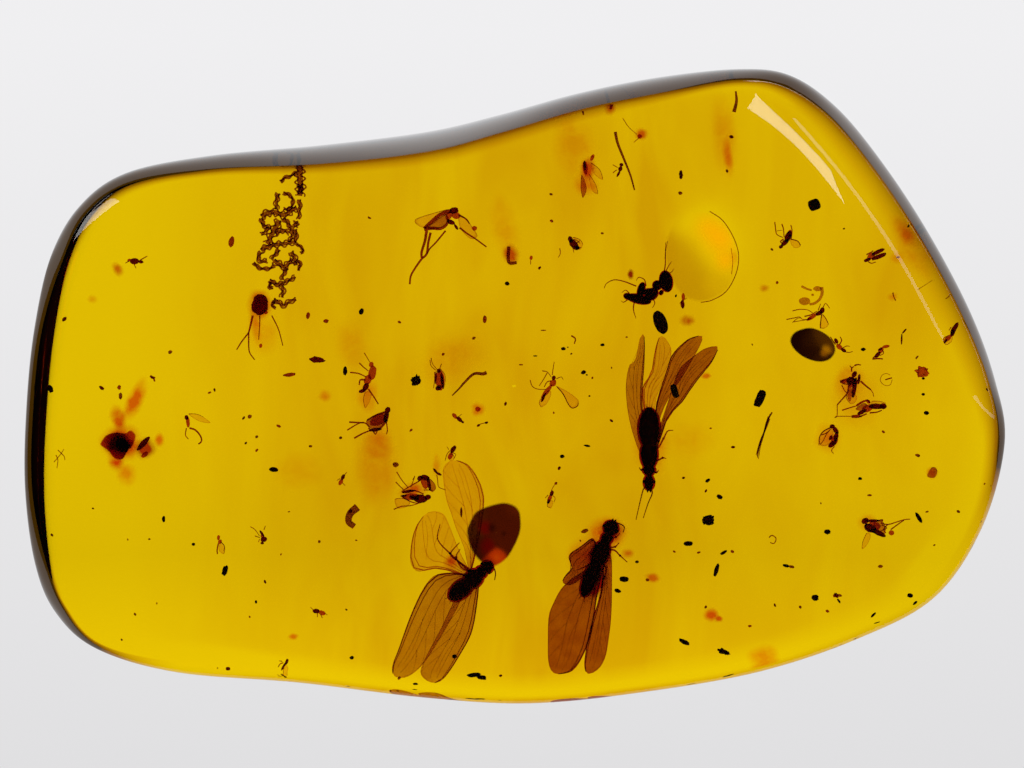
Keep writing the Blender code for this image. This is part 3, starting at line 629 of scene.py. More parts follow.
TERMITES = (
    dict(
        name="termite_centre", place=(8.4, -4.15, 6.0), heading=-90.0, pitch=0.0,
        bodies=((-1.5, 1.35, 0.74, 0.6), (0.1, 0.95, 0.6, 0.5), (1.05, 0.36, 0.45, 0.4),
                (1.82, 0.54, 0.38, 0.36)),
        wings=(
            (6.15, 6.45, "wing", 0.12, True, (
                (8.25, -3.4), (7.95, -4.4), (7.2, -2.25), (6.95, -0.15), (7.15, 1.25),
                (7.5, 1.55), (7.7, 2.35), (7.85, 3.05), (8.1, 3.1), (8.1, 1.3), (7.95, -0.9))),
            (5.93, 5.75, "wing_pale", 0.14, False, (
                (8.5, -3.6), (8.0, -0.9), (8.05, 0.1), (8.45, 0.6), (8.6, 1.15), (8.7, 1.9),
                (8.95, 2.9), (9.25, 3.1), (9.55, 2.75), (9.8, 2.2), (9.6, 1.1), (9.1, -0.1),
                (8.8, -1.0))),
            (6.04, 6.3, "wing_deep", 0.1, False, (
                (8.6, -3.4), (8.75, -2.1), (8.9, -0.9), (9.45, 0.8), (9.8, 1.9), (10.6, 2.75),
                (11.15, 3.05), (11.7, 3.1), (11.65, 2.7), (11.25, 1.9), (10.6, 0.75),
                (9.95, -0.25), (9.3, -1.4))),
            (5.82, 5.45, "wing_deep", 0.2, True, (
                (8.55, -4.1), (9.1, -2.4), (9.6, -0.9), (10.15, 0.8), (10.6, 1.4), (11.65, 2.2),
                (12.1, 2.4), (12.7, 2.4), (12.3, 1.45), (11.65, 0.65), (11.0, -0.2),
                (10.55, -0.9), (9.6, -1.9), (9.15, -3.1), (8.75, -4.2))),
        ),
        legs=(
            (6.1, ((8.5, -4.1), (8.95, -3.85), (9.3, -3.25), (9.55, -2.8), (9.9, -2.75))),
            (5.9, ((8.5, -4.65), (8.95, -4.6), (9.25, -4.45), (9.45, -4.5))),
            (5.8, ((8.3, -4.9), (7.95, -5.2), (7.8, -5.05))),
            (5.9, ((8.5, -5.2), (8.85, -5.35), (9.0, -5.2))),
        ),
        feelers=(
            (6.0, ((8.25, -6.2), (8.05, -6.4), (7.85, -7.15), (7.6, -8.25))),
            (6.0, ((8.5, -6.3), (8.6, -6.65), (8.35, -7.25), (8.05, -8.15))),
        ),
    ),
    dict(
        name="termite_lower", place=(5.33, -10.5, 6.0), heading=67.6, pitch=0.0,
        bodies=((-1.45, 1.35, 0.54, 0.5), (0.15, 0.95, 0.6, 0.5), (1.15, 0.36, 0.43, 0.4),
                (1.85, 0.52, 0.53, 0.42)),
        wings=(
            (6.15, 6.3, "wing_lower", 0.35, False, (
                (5.1, -10.1), (4.9, -9.4), (4.2, -9.9), (3.45, -10.4), (3.45, -10.85),
                (3.6, -11.25), (3.1, -11.85), (3.05, -12.2), (3.6, -12.3), (4.6, -11.5))),
            (5.88, 5.6, "wing_lower", 0.1, True, (
                (5.1, -10.9), (4.4, -11.4), (3.5, -12.0), (2.9, -12.6), (2.4, -13.55),
                (2.15, -14.3), (2.1, -15.9), (2.15, -17.2), (2.5, -17.8), (3.3, -17.8),
                (3.8, -17.5), (4.25, -16.8), (4.65, -15.85), (4.95, -14.55), (5.2, -12.9),
                (5.55, -11.2))),
            (6.05, 6.3, "wing_lower", 0.15, False, (
                (5.6, -10.55), (5.4, -12.75), (4.75, -14.95), (4.4, -16.8), (4.4, -17.6),
                (4.7, -17.85), (5.3, -17.5), (5.7, -16.75), (5.9, -15.6), (6.05, -14.3),
                (6.1, -12.45), (6.05, -10.45))),
        ),
        legs=(
            (6.1, ((5.5, -10.1), (6.0, -10.0), (6.3, -9.95), (6.55, -9.7))),
            (5.95, ((5.5, -10.2), (6.2, -10.15), (6.6, -10.5), (7.05, -10.9))),
            (5.9, ((5.4, -10.9), (5.75, -11.3), (5.6, -11.9), (5.4, -12.5))),
            (6.0, ((5.0, -11.0), (4.5, -11.15), (3.95, -11.4))),
            (6.1, ((5.9, -9.4), (6.35, -9.35), (6.6, -9.1))),
        ),
        feelers=(
            (6.13, ((6.2, -8.6), (6.45, -8.5), (6.85, -8.7), (6.8, -9.05))),
        ),
    ),
    dict(
        name="termite_left", place=(-2.6, -12.0, 6.0), heading=40.0, pitch=-48.0,
        bodies=((-1.35, 1.35, 0.62, 0.58), (0.15, 0.95, 0.62, 0.52), (1.1, 0.36, 0.45, 0.42),
                (1.8, 0.5, 0.44, 0.4)),
        wings=(
            (6.21, 6.9, "wing_pale", 0.0, True, (
                (-2.75, -11.6), (-3.1, -10.05), (-3.6, -8.85), (-3.9, -7.95), (-4.25, -6.95),
                (-4.4, -5.9), (-4.45, -5.2), (-4.2, -4.75), (-3.7, -4.6), (-3.15, -4.7),
                (-2.7, -5.0), (-2.3, -5.6), (-2.0, -6.25), (-1.85, -6.95), (-1.9, -7.75),
                (-2.1, -9.0), (-2.4, -10.4))),
            (6.05, 6.4, "wing_pale", 0.0, True, (
                (-2.75, -11.7), (-3.4, -10.2), (-4.15, -8.3), (-4.5, -7.85), (-4.95, -7.75),
                (-5.4, -7.85), (-5.8, -8.25), (-6.15, -8.8), (-6.4, -9.7), (-6.45, -10.9),
                (-6.0, -11.5), (-5.1, -11.3), (-4.2, -11.4))),
            (5.87, 5.5, "wing", 0.1, False, (
                (-2.95, -11.75), (-4.6, -11.6), (-5.5, -12.3), (-6.4, -14.1), (-7.2, -16.3),
                (-7.6, -17.4), (-7.4, -18.0), (-6.6, -18.0), (-5.55, -17.1), (-4.2, -14.95),
                (-3.2, -13.05))),
            (5.69, 5.2, "wing", 0.15, True, (
                (-2.85, -11.85), (-3.7, -13.25), (-4.6, -15.1), (-5.6, -17.0), (-5.8, -17.9),
                (-5.0, -18.4), (-4.25, -18.0), (-3.2, -16.4), (-2.6, -15.2), (-2.3, -13.55),
                (-2.2, -12.0))),
        ),
        legs=(
            (5.97, ((-2.7, -11.6), (-3.3, -11.0), (-4.0, -10.35), (-4.75, -9.5), (-4.6, -8.55))),
            (6.13, ((-2.7, -11.4), (-3.4, -10.9), (-3.95, -10.4), (-3.4, -9.7))),
            (6.3, ((-2.6, -11.5), (-3.2, -11.3), (-3.6, -10.6), (-3.35, -10.1))),
        ),
        feelers=(
            (7.3, ((-1.7, -11.2), (-1.3, -11.25), (-1.15, -11.6), (-1.2, -12.0))),
        ),
    ),
)


def feeler(shape, z, route, slot, bead=0.055):
    """A beaded antenna."""
    line = resample(smooth_open([(*p, z) for p in route], 6), 22)
    shape.tube(line, bead * 0.5, slot, 5, bead * 0.4, steps=1)
    for k, place in enumerate(line):
        r = bead * (1.0 - 0.4 * k / len(line))
        shape.ball(Matrix.Translation(place), (r, r, r), slot, 6, 4)


def termite(t):
    """A dark core in a clearer skin, with eyes, jaws, tail bristles, wings, legs and feelers."""
    shape = Shape()
    place = frame_at(*t["place"], t["heading"], t["pitch"])
    shape.lathe(place, envelope(t["bodies"], swell=-0.08, rings=0.05), 0, 20)
    shape.lathe(place, envelope(t["bodies"], swell=0.03, rings=0.02), 1, 20)
    head = t["bodies"][3]
    for side in (-1, 1):
        eye = place @ Matrix.Translation((head[0] - 0.05, side * head[2] * 0.88, 0.08))
        shape.ball(eye, (0.11, 0.08, 0.11), 0, 8, 6)
        jaw = place @ Matrix.Translation((head[0] + head[1] * 0.95, side * 0.09, -0.05))
        shape.ball(jaw, (0.12, 0.06, 0.07), 0, 8, 5)
        tail = place @ Vector((-2.75, side * 0.12, 0.0))
        end = place @ Vector((-3.02, side * 0.2, 0.0))
        shape.tube([tail, (tail + end) / 2, end], 0.035, 2, 5, 0.012)
    slots = {"wing": 3, "wing_pale": 4, "wing_deep": 5, "wing_lower": 7}
    for z_root, z_tip, kind, shade, flip, outline in t["wings"]:
        vein = 8 if kind == "wing_pale" else 6
        wing_sheet(shape, outline, z_root, z_tip, slots[kind], vein, TERMITE_VEINS, shade=shade,
                   flip=flip)
    for z, route in t["legs"]:
        line = [(*p, z + 0.12 * math.sin(k * 1.3)) for k, p in enumerate(route)]
        shape.tube(line, 0.075, 2, 6, 0.028)
        shape.ball(Matrix.Translation(line[len(line) // 2]), (0.08, 0.08, 0.08), 2, 6, 4)
    for z, route in t["feelers"]:
        feeler(shape, z, route, 2)
    names = ("core", "cuticle", "limb", "wing", "wing_pale", "wing_deep", "vein", "wing_lower",
             "vein_pale")
    shape.build(t["name"] + "_detail", [MATERIALS[k] for k in names], (t["name"],), "chitin")


# Place, heading and half sizes of the wasp's lumps
WASP_LUMPS = (
    ((9.45, 6.5, 6.4), -80.0, (0.67, 0.42, 0.4)),
    ((8.9, 6.25, 6.4), 0.0, (0.3, 0.3, 0.3)),
    ((8.55, 5.7, 6.4), 35.0, (0.45, 0.36, 0.34)),
    ((7.9, 5.95, 6.4), 75.0, (0.5, 0.24, 0.26)),
    ((7.75, 5.4, 6.4), -13.0, (0.78, 0.3, 0.3)),
    ((8.3, 5.85, 6.45), 20.0, (0.3, 0.2, 0.2)),
    ((7.1, 5.55, 6.4), -20.0, (0.3, 0.2, 0.2)),
    ((9.15, 5.8, 6.35), 60.0, (0.16, 0.12, 0.12)),
)
# Height, half width at the start and at the end, and the line along a leg or feeler
WASP_LIMBS = (
    (6.4, 0.045, 0.02, ((7.6, 6.2), (6.8, 6.5), (6.2, 6.58), (5.75, 6.35), (5.6, 6.05))),
    (6.4, 0.05, 0.02, ((7.5, 5.3), (7.42, 4.9), (7.45, 4.6), (7.58, 4.2))),
    (6.4, 0.05, 0.015, ((9.3, 6.9), (9.4, 7.55), (9.42, 8.35), (9.55, 9.0))),
    (6.5, 0.04, 0.015, ((9.35, 6.95), (9.6, 7.45), (9.8, 7.75))),
    (6.3, 0.04, 0.015, ((9.4, 6.95), (9.75, 7.05), (9.95, 7.3))),
    (6.5, 0.045, 0.02, ((8.2, 6.2), (8.1, 6.6), (7.75, 6.75), (7.6, 6.55))),
    (6.3, 0.045, 0.02, ((8.6, 5.5), (8.75, 5.15), (8.6, 4.85))),
    (6.4, 0.04, 0.02, ((7.2, 5.7), (6.95, 5.95), (6.7, 5.8))),
    (6.4, 0.035, 0.015, ((7.05, 5.35), (6.8, 5.2), (6.65, 5.3))),
)


def wasp():
    """Lumps in a clearer skin, with legs and feelers."""
    shape = Shape()
    for k, (place, heading, radii) in enumerate(WASP_LUMPS):
        at = frame_at(*place, heading)
        shape.lump(at, [r * 0.95 for r in radii], 0, 0.1, k, 18, 14)
        shape.ball(at, [r + 0.03 for r in radii], 1, 16, 10)
    for z, r, end, route in WASP_LIMBS:
        shape.tube([(*p, z) for p in route], r, 2, 6, end)
    shape.build("wasp_detail", [MATERIALS[k] for k in ("core", "cuticle", "limb")], ("wasp",),
                "chitin")


# Small insects, in picture steps. Bodies: x, y, half length, half width, heading, skin.
# Limbs: half width, then x, y along the limb. Wings: kind, then x, y around the wing.
DARK, RED, LIMB, PALE, DEEP, RIB = range(6)
SMALL_SKINS = ("gnat_dark", "gnat", "limb", "wing_pale", "wing_deep", "vein")
FLIES = (
    ("gnat_01", 6.8, (
        (553.5, 378, 2.4, 2.0, 70, DARK), (552.8, 383, 3.8, 3.2, 60, RED),
        (546.5, 391.5, 8.5, 2.3, 52, RED), (543.2, 397.5, 5.0, 1.4, 65, DARK)), (
        (0.5, 542, 371, 547, 372, 551, 377), (0.5, 547, 373, 543, 380, 539, 386),
        (0.5, 530, 380, 532, 386, 537, 389, 546, 389.5), (0.5, 552, 375, 553, 368, 554, 362),
        (0.4, 556, 379, 561, 377, 563, 380), (0.6, 551, 381, 547, 382, 544, 387),
        (0.6, 557, 387, 563, 394, 568, 404, 572, 408, 577, 406, 578, 403)), (
        (PALE, 549, 390, 543, 396, 539, 402, 541, 407, 547, 403, 551, 394),
        (PALE, 556, 386, 562, 393, 568, 404, 572, 408, 577, 406, 578, 400, 568, 392))),
    ("gnat_02", 5.2, (
        (388.3, 410, 3.2, 2.8, 70, DARK), (386.8, 417, 5.5, 2.6, 75, DARK),
        (379, 420, 9.5, 5.0, 28, RED), (376, 429.5, 6.5, 1.8, 8, DARK)), (
        (1.2, 386, 412, 377, 415, 368, 420), (1.1, 388, 420, 381, 428, 375, 431, 369, 428),
        (0.9, 350, 422, 360, 422.5, 366, 423, 370, 427), (0.7, 348, 430, 358, 424, 364, 422),
        (0.9, 355, 438, 364, 433, 372, 430), (0.7, 387, 421, 388, 430, 387, 434),
        (0.8, 374, 431, 376, 434, 378, 431)), (
        (DEEP, 386, 412, 374, 416, 367, 421, 371, 428, 380, 428, 387, 420),)),
    ("gnat_03", 5.2, (
        (372, 364.8, 2.8, 2.3, 75, RED), (373, 373, 7.0, 4.0, 80, RED),
        (368.5, 380, 5.5, 3.6, 70, RED), (366.5, 387, 4.2, 2.8, 60, DARK),
        (363, 391, 3.6, 1.9, 15, DARK)), (
        (0.8, 351, 372.5, 359, 373.5, 367, 377), (0.7, 360, 363, 364, 367, 369, 371),
        (0.5, 365, 353, 368, 358, 371, 363), (0.9, 369, 389, 374, 396, 379, 404),
        (1.0, 366, 380, 361, 380, 360, 385)), (
        (PALE, 366, 392, 364, 400, 366, 408, 371, 400, 372, 392),)),
    ("gnat_04", 6.8, (
        (439.2, 371, 2.2, 2.0, 80, DARK), (440.5, 380.5, 9.8, 4.4, 96, RED),
        (442.6, 381, 8.0, 1.7, 97, DARK), (439, 387.8, 3.4, 2.6, 30, DARK),
        (436.2, 378, 6.5, 1.0, 88, DARK)), (
        (0.45, 431.5, 358, 433, 364, 438, 370), (0.45, 430.5, 360, 431.5, 366, 436.5, 370.5),
        (0.5, 440, 370, 441, 366, 442, 364), (0.5, 435, 372, 435, 380, 434, 388)), (
        (PALE, 440, 369, 445, 374, 446, 382, 443, 389),)),
    ("gnat_05", 5.2, (
        (455, 415.8, 3.2, 2.0, -48, RED), (459.5, 419, 3.4, 2.0, -40, DARK),
        (462.7, 421.6, 1.6, 1.2, -40, DARK)), ((0.35, 458, 417, 462, 414), ), ()),
    ("gnat_06", 6.8, (
        (453.4, 448.6, 4.2, 2.3, 58, DARK), (450.6, 455.2, 3.8, 2.3, 65, RED)), (
        (0.45, 450, 450, 447, 454, 445.3, 460), (0.4, 453, 452, 456, 454, 454, 458),
        (0.4, 449, 449, 447, 446)), ((PALE, 451, 453, 454, 455, 454, 459, 450, 460),)),
    ("gnat_07", 6.8, (
        (420.3, 477.3, 3.0, 2.5, 30, DARK), (425.5, 476.8, 4.5, 2.8, -15, DARK),
        (429.3, 483, 6.8, 1.8, -80, DARK), (425, 482, 6.0, 3.6, -75, RED)), (
        (0.7, 421, 479, 418, 481, 410, 485.5, 402, 490.5), (0.4, 413, 479, 415, 475.5),
        (0.6, 424, 489, 428, 489, 433, 489.5)), (
        (DEEP, 430, 478, 435, 483, 436, 488, 432, 491, 429, 486),)),
    ("gnat_08", 5.2, (
        (428, 496, 3.2, 2.7, 10, DARK), (420.5, 497.5, 6.8, 4.4, -3, DARK),
        (411, 495.5, 9.0, 3.4, 2, RED), (404, 494.6, 3.4, 1.1, 5, DARK),
        (409, 490.4, 7.0, 1.3, 10, DARK), (414.5, 496.5, 5.0, 2.6, -10, DARK)), (
        (0.8, 402, 491, 410, 489, 417, 490, 424, 493), (0.6, 397, 471, 402, 479, 408, 486),
        (0.6, 396, 481, 400, 485, 404, 489), (0.6, 394, 508, 402, 505, 410, 504.5, 418, 502.5),
        (0.5, 415, 475, 413, 481, 411, 486), (0.7, 402, 495, 410, 500, 418, 502, 425, 500)), (
        (PALE, 395, 498, 402, 497, 410, 500, 408, 505, 398, 507),)),
    ("gnat_09", 6.8, (
        (551.6, 492.3, 2.8, 1.9, 65, DARK), (549.5, 497.4, 4.4, 2.0, 68, RED),
        (548.4, 500.5, 2.4, 1.6, 65, DARK)), (
        (0.4, 551, 490, 553, 486, 555, 483), (0.4, 548, 494, 545, 497),
        (0.4, 552, 494, 555, 497, 554, 501)), ((PALE, 549, 500, 547, 505, 551, 507, 553, 500),)),
    ("gnat_10", 6.8, (
        (570.6, 241, 3.4, 2.4, -65, DARK), (574, 246, 6.4, 3.6, -52, DARK),
        (577, 249, 3.0, 2.2, -20, DARK)), (
        (0.5, 574, 241, 577, 242, 580, 245), (0.5, 576, 245, 580, 242),
        (0.5, 577, 250, 581, 249), (0.4, 573, 250, 574, 254)), (
        (PALE, 573, 239, 580, 241, 583, 246, 579, 251),)),
    ("gnat_11", 6.8, (
        (779.6, 247.6, 2.3, 1.8, 30, DARK), (783.5, 243.3, 4.6, 2.5, 42, DARK),
        (786.6, 237.6, 6.2, 3.2, 68, DARK), (788, 235.5, 5.0, 2.2, 80, RED)), (
        (0.6, 773.3, 223, 774.3, 231, 775.5, 235.5, 781.5, 238.5),
        (0.7, 780.3, 225, 782, 230, 782.6, 238), (0.6, 789.3, 226, 790.6, 232, 789.8, 240),
        (0.8, 782, 240, 779, 242.5, 781, 244.5), (0.6, 789, 240, 796, 242, 799, 246),
        (0.3, 775, 232, 781, 231)), ((PALE, 789, 240, 796, 242, 799, 247, 794, 249, 790, 246),)),
    ("gnat_12", 6.8, (
        (820.6, 311, 3.0, 2.5, 75, DARK), (817.6, 313.7, 3.8, 2.3, 25, DARK),
        (810.8, 317.4, 6.6, 1.9, 33, RED), (808, 319.2, 2.4, 1.2, 10, RED)), (
        (0.5, 785, 320, 793, 318.5, 798, 317.5, 801, 320, 807, 320),
        (0.5, 791, 311.5, 798, 310, 806, 310.5, 811, 313.5), (0.7, 803, 317, 809, 315.5, 815, 312),
        (0.4, 791, 323, 796, 319, 799, 318.5), (0.4, 792, 322.5, 801, 321, 808, 320),
        (0.5, 821, 309, 824, 304, 828, 309), (0.5, 816.5, 311, 819, 304.5),
        (0.6, 820, 315, 819.3, 321, 818.7, 329), (0.5, 821, 315, 824, 319, 827, 325)), (
        (PALE, 820, 315, 819, 321, 818.5, 328, 823, 329, 827, 325, 824, 318),)),
    ("gnat_13", 6.8, (
        (852.6, 374.6, 3.4, 2.4, 60, DARK), (849, 381, 4.6, 4.2, 0, DARK),
        (851.5, 383, 5.0, 4.4, 60, RED), (852.6, 388, 10.4, 2.3, 81, DARK),
        (857.2, 379.5, 5.2, 1.5, 82, DARK), (843.5, 381.7, 4.8, 1.7, 2, RED)), (
        (1.1, 838.5, 381.8, 843, 380, 849, 378.3), (0.9, 838.8, 382, 842, 384, 847, 384.5),
        (0.9, 847, 385, 845.6, 393, 840, 400, 835.6, 405), (0.5, 835.6, 405, 835.4, 416, 833, 417.5),
        (0.6, 840, 385, 843, 391, 845, 393), (1.1, 859, 381.5, 864, 386, 869, 390),
        (0.5, 869, 390, 871, 393, 872, 397), (0.7, 850.5, 369, 848, 366),
        (0.8, 852.6, 366, 856, 365, 859, 365.4), (0.8, 850, 372, 850, 368.5, 852, 367)), (
        (DEEP, 848, 385, 846, 394, 846.5, 400, 849, 401, 850.5, 392),
        (PALE, 847, 390, 844.5, 398, 849, 404, 854, 402, 855, 396),)),
    ("gnat_14", 5.2, (
        (881.5, 406.4, 3.4, 3.0, -5, DARK), (874.5, 406.6, 7.5, 2.9, -2, DARK),
        (866, 408.5, 6.0, 3.6, 20, RED), (860.4, 412.2, 5.2, 2.0, 25, DARK),
        (866.6, 402, 2.4, 1.8, -40, RED)), (
        (0.7, 840.6, 410.4, 848, 408, 855, 406), (1.2, 855, 406, 860, 402.6, 866, 400.6, 868, 403.5),
        (0.5, 833.6, 417.4, 836, 416.3, 850, 416.3), (1.0, 850, 416.2, 856, 415.5, 860, 416.6),
        (1.0, 850, 417, 857, 417, 865, 413.8), (0.8, 868, 413, 875, 412.3, 880, 410.5)), (
        (PALE, 870, 401.5, 878, 401.5, 884, 403.5, 880, 408, 870, 408),
        (DEEP, 854, 409, 862, 403.5, 866, 406, 860, 411))),
    ("gnat_15", 5.2, (
        (830.8, 426.2, 2.6, 2.2, 0, DARK), (834.3, 430.3, 4.0, 2.4, -58, DARK),
        (834.6, 436.5, 5.0, 2.3, 80, DARK), (831, 443.6, 5.0, 2.6, 40, DARK),
        (833, 440, 5.0, 3.4, 75, RED), (829.2, 437.4, 2.6, 1.6, 60, DARK)), (
        (0.6, 830, 427, 822, 431, 818, 437, 817.6, 445), (0.5, 829, 429, 825, 434, 822, 440, 819, 444),
        (0.6, 820, 434.5, 824, 433.3, 827, 431), (0.5, 833, 446, 830, 450, 832, 453)), (
        (PALE, 830, 427, 822, 431, 818, 438, 819, 445, 826, 445, 832, 438),)),
    ("gnat_16", 6.8, (
        (863.5, 520, 3.8, 3.0, 20, DARK), (868.5, 527.3, 6.4, 4.2, -25, DARK),
        (876.5, 531.8, 8.0, 2.7, -27, DARK), (873, 524.6, 6.0, 4.0, -20, RED),
        (871, 519.8, 7.0, 1.5, 2, DARK), (889.6, 531.8, 2.8, 2.6, 0, RED)), (
        (0.8, 877, 519.6, 881, 519, 880, 521), (1.0, 864, 522, 865, 527, 871, 531, 883, 535.6),
        (0.7, 879, 522, 886, 523.6, 895, 521, 903, 518.6, 908, 518.2),
        (0.7, 889, 528.6, 893, 525.6, 898, 522, 902, 519.3), (0.6, 880, 524, 885, 527, 879, 530),
        (0.6, 886, 523.6, 882, 528, 884, 532)), (
        (PALE, 865, 532, 861, 541, 860.5, 548, 866, 543, 869, 534),
        (DEEP, 872, 521, 880, 520, 884, 527, 882, 534, 874, 529))),
    ("gnat_17", 5.2, (
        (842, 350.8, 2.8, 1.8, -30, DARK), (837.6, 347.4, 3.6, 2.4, -40, RED),
        (834.6, 341.6, 3.0, 1.8, -60, DARK)), (
        (0.7, 834, 345, 831, 341, 829, 337.5), (0.7, 838, 345, 840, 341, 838.6, 337.5),
        (0.5, 840, 349, 845, 346.6, 848, 347), (0.5, 842, 352, 847, 353, 851, 352)), ()),
    ("gnat_18", 6.8, (
        (875.8, 355.2, 3.8, 2.0, 48, DARK), (879, 350.7, 3.4, 2.5, 60, RED),
        (878.3, 349.8, 2.4, 1.1, 20, DARK), (884.2, 347, 3.6, 1.6, 10, RED)), (
        (0.9, 870.6, 359.4, 876, 359, 881, 359.4), (0.8, 871.4, 358.6, 873.6, 356),
        (0.6, 881, 351, 881.6, 354, 878, 356)), ()),
    ("gnat_19", 6.8, (
        (316.7, 609, 3.4, 2.4, 0, DARK), (322.4, 610.8, 4.0, 2.3, -20, RED)), (
        (0.5, 318, 611, 318, 615), (0.5, 321, 612, 323, 616), (0.4, 314, 608, 311, 605),
        (0.4, 325, 611, 328, 613)), ()),
    ("gnat_20", 5.2, (
        (287.4, 658, 3.0, 1.5, 70, DARK), (284.6, 662, 4.4, 1.1, 55, DARK)), (
        (0.6, 284, 659, 281, 660, 279, 663), (0.5, 283, 657.6, 280, 657),
        (0.5, 285, 664, 282, 666.4)), ((PALE, 285, 660, 284, 668, 287, 672, 289, 664),)),
    ("gnat_21", 5.2, (
        (136.5, 262, 4.4, 3.2, 5, DARK), (142.6, 262.6, 2.6, 1.7, -10, DARK),
        (131.4, 261, 2.0, 1.4, 20, RED)), (
        (0.6, 142, 261, 146, 258.6, 149, 257), (0.5, 136, 265, 138, 269),
        (0.5, 131, 262, 127.6, 264)), ()),
    ("gnat_22", 5.2, (
        (865, 261.2, 3.4, 1.8, 20, DARK), (874.5, 253.8, 6.4, 2.1, 24, DARK),
        (875.6, 258.4, 7.2, 2.3, 22, DARK), (868.5, 257.6, 4.0, 3.0, 40, RED)), (
        (0.7, 864, 256, 868, 254, 870, 252.6), (0.6, 866, 263, 869, 264.6, 873, 263.5)), ()),
    ("gnat_23", 5.2, (
        (948, 331.5, 6.6, 2.3, 62, DARK), (946.6, 335.6, 3.6, 2.1, 75, DARK),
        (942.2, 340.8, 4.0, 2.3, 48, RED), (940.4, 343.4, 2.4, 1.1, 55, DARK)), (
        (0.5, 943, 338, 939, 340, 938, 342), (0.5, 945, 330, 943, 333)), (
        (PALE, 938, 342, 941, 347, 946, 344, 946, 339),)),
    ("gnat_24", 6.8, (
        (264.8, 538.3, 3.2, 2.6, 20, DARK), (263.2, 542, 1.8, 1.3, 0, DARK),
        (263, 532.6, 3.6, 1.3, -55, DARK), (263.6, 535, 2.0, 1.8, 0, RED)), (
        (0.45, 251.6, 526, 256, 528.6, 260.6, 535), (0.5, 256, 535, 261, 536.6),
        (0.45, 259.6, 541, 260.6, 538), (0.45, 265, 529, 266.6, 525)), ()),
    ("gnat_25", 5.2, (
        (219.8, 536.8, 2.6, 1.5, 85, RED), (221.2, 541, 2.4, 1.8, 60, RED)), (
        (0.8, 219.6, 543, 218.4, 549, 218.6, 553), (0.45, 222, 541, 225.6, 545, 225, 550)), (
        (PALE, 222, 541, 226, 546, 225, 553, 220, 549),)),
    ("gnat_26", 6.8, (
        (343.8, 476.6, 3.2, 1.8, 65, DARK), (341.6, 481.4, 3.4, 2.0, 62, RED)), (
        (0.45, 345, 475, 347.6, 471.6), (0.4, 341, 478, 337.6, 480), (0.4, 343, 482, 346, 485)), ()),
    ("gnat_27", 5.2, (
        (454.6, 213, 4.6, 3.2, 10, DARK), (456.6, 218, 4.4, 3.6, 0, RED),
        (451.4, 224.6, 4.2, 2.4, -20, DARK), (456.6, 229.4, 3.2, 1.4, -55, DARK),
        (475, 230.6, 2.6, 2.4, 0, RED), (449.5, 218, 5.0, 3.0, 60, RED)), (
        (2.2, 452, 213.4, 441, 217, 431, 225, 424.4, 231),
        (1.8, 424.6, 231.6, 433, 230.6, 441, 231, 447, 227, 449, 221),
        (1.6, 427, 233, 425.4, 243, 422, 254, 422, 260),
        (1.3, 431, 235, 428.6, 245, 427, 256, 422, 261, 415.5, 270, 411, 278, 410, 286),
        (0.9, 446, 233, 436, 245, 430, 251, 427.6, 256),
        (1.0, 460, 230, 468, 236, 476, 241, 487, 249), (0.9, 460, 218, 466, 221, 470, 226)), (
        (PALE, 449, 212, 430, 217, 416, 222, 417, 227, 425, 230, 437, 224),
        (DEEP, 447, 217, 436, 223, 428, 231, 440, 231, 448, 224),
        (PALE, 459, 217, 467, 221, 471, 227, 478, 238, 471, 241, 461, 231))),
    ("gnat_28", 6.8, (
        (682.3, 297.6, 3.8, 1.8, 92, RED), (681.6, 304.8, 4.2, 2.1, 95, DARK)), (
        (0.4, 680.6, 302, 678.6, 304), (0.4, 683.6, 300, 686, 298.6)), ()),
)


def picture_line(z, numbers, sway=0.04):
    """x, y pairs of the picture as points in the stone, gently up and down."""
    pairs = zip(numbers[::2], numbers[1::2])
    return [(*spot(x, y), z + sway * math.sin(2.1 * k)) for k, (x, y) in enumerate(pairs)]


def pane(shape, z, outline, slot, rings=4):
    """A small wing: a closed outline filled to its middle, a little domed."""
    loop = smooth_closed(outline, 4)
    middle = [sum(p[k] for p in loop) / len(loop) for k in (0, 1)]
    rows, shades = [], []
    for i in range(rings + 1):
        r = 0.002 + 0.998 * i / rings
        rows.append([(middle[0] + (x - middle[0]) * r, middle[1] + (y - middle[1]) * r,
                      z + 0.05 * (1 - r * r)) for x, y in loop])
        shades.append([0.35 if i == rings else 0.0] * len(loop))
    shape.grid(rows, slot, caps=False, shades=shades)


def strokes(shape, z, bodies, limbs, wings):
    """Adds one small inclusion from its bodies, limbs and wings."""
    for k, (x, y, long, wide, heading, skin) in enumerate(bodies):
        at = frame_at(*spot(x, y), z + 0.03 * math.sin(k * 2.3), heading)
        half = (long / 16, wide / 16, wide / 18)
        shape.lump(at, half, skin, 0.14, k + z + x, 14, 10)
    for limb in limbs:
        line = picture_line(z, limb[1:])
        shape.tube(line, limb[0] / 16, LIMB, 6, limb[0] / 22, steps=3)
    for wing in wings:
        outline = [spot(x, y) for x, y in zip(wing[1::2], wing[2::2])]
        pane(shape, z + 0.08, outline, wing[0])
        rib = [(*p, z + 0.08) for p in outline[:max(3, len(outline) // 2 + 1)]]
        shape.tube(rib, 0.018, RIB, 5, 0.01, steps=3)


def flies():
    """The small insects that are nodes of their own."""
    skins = [MATERIALS[k] for k in SMALL_SKINS]
    for name, z, bodies, limbs, wings in FLIES:
        shape = Shape()
        strokes(shape, z, bodies, limbs, wings)
        shape.build(name + "_detail", skins, (name,), "gnat_skin")


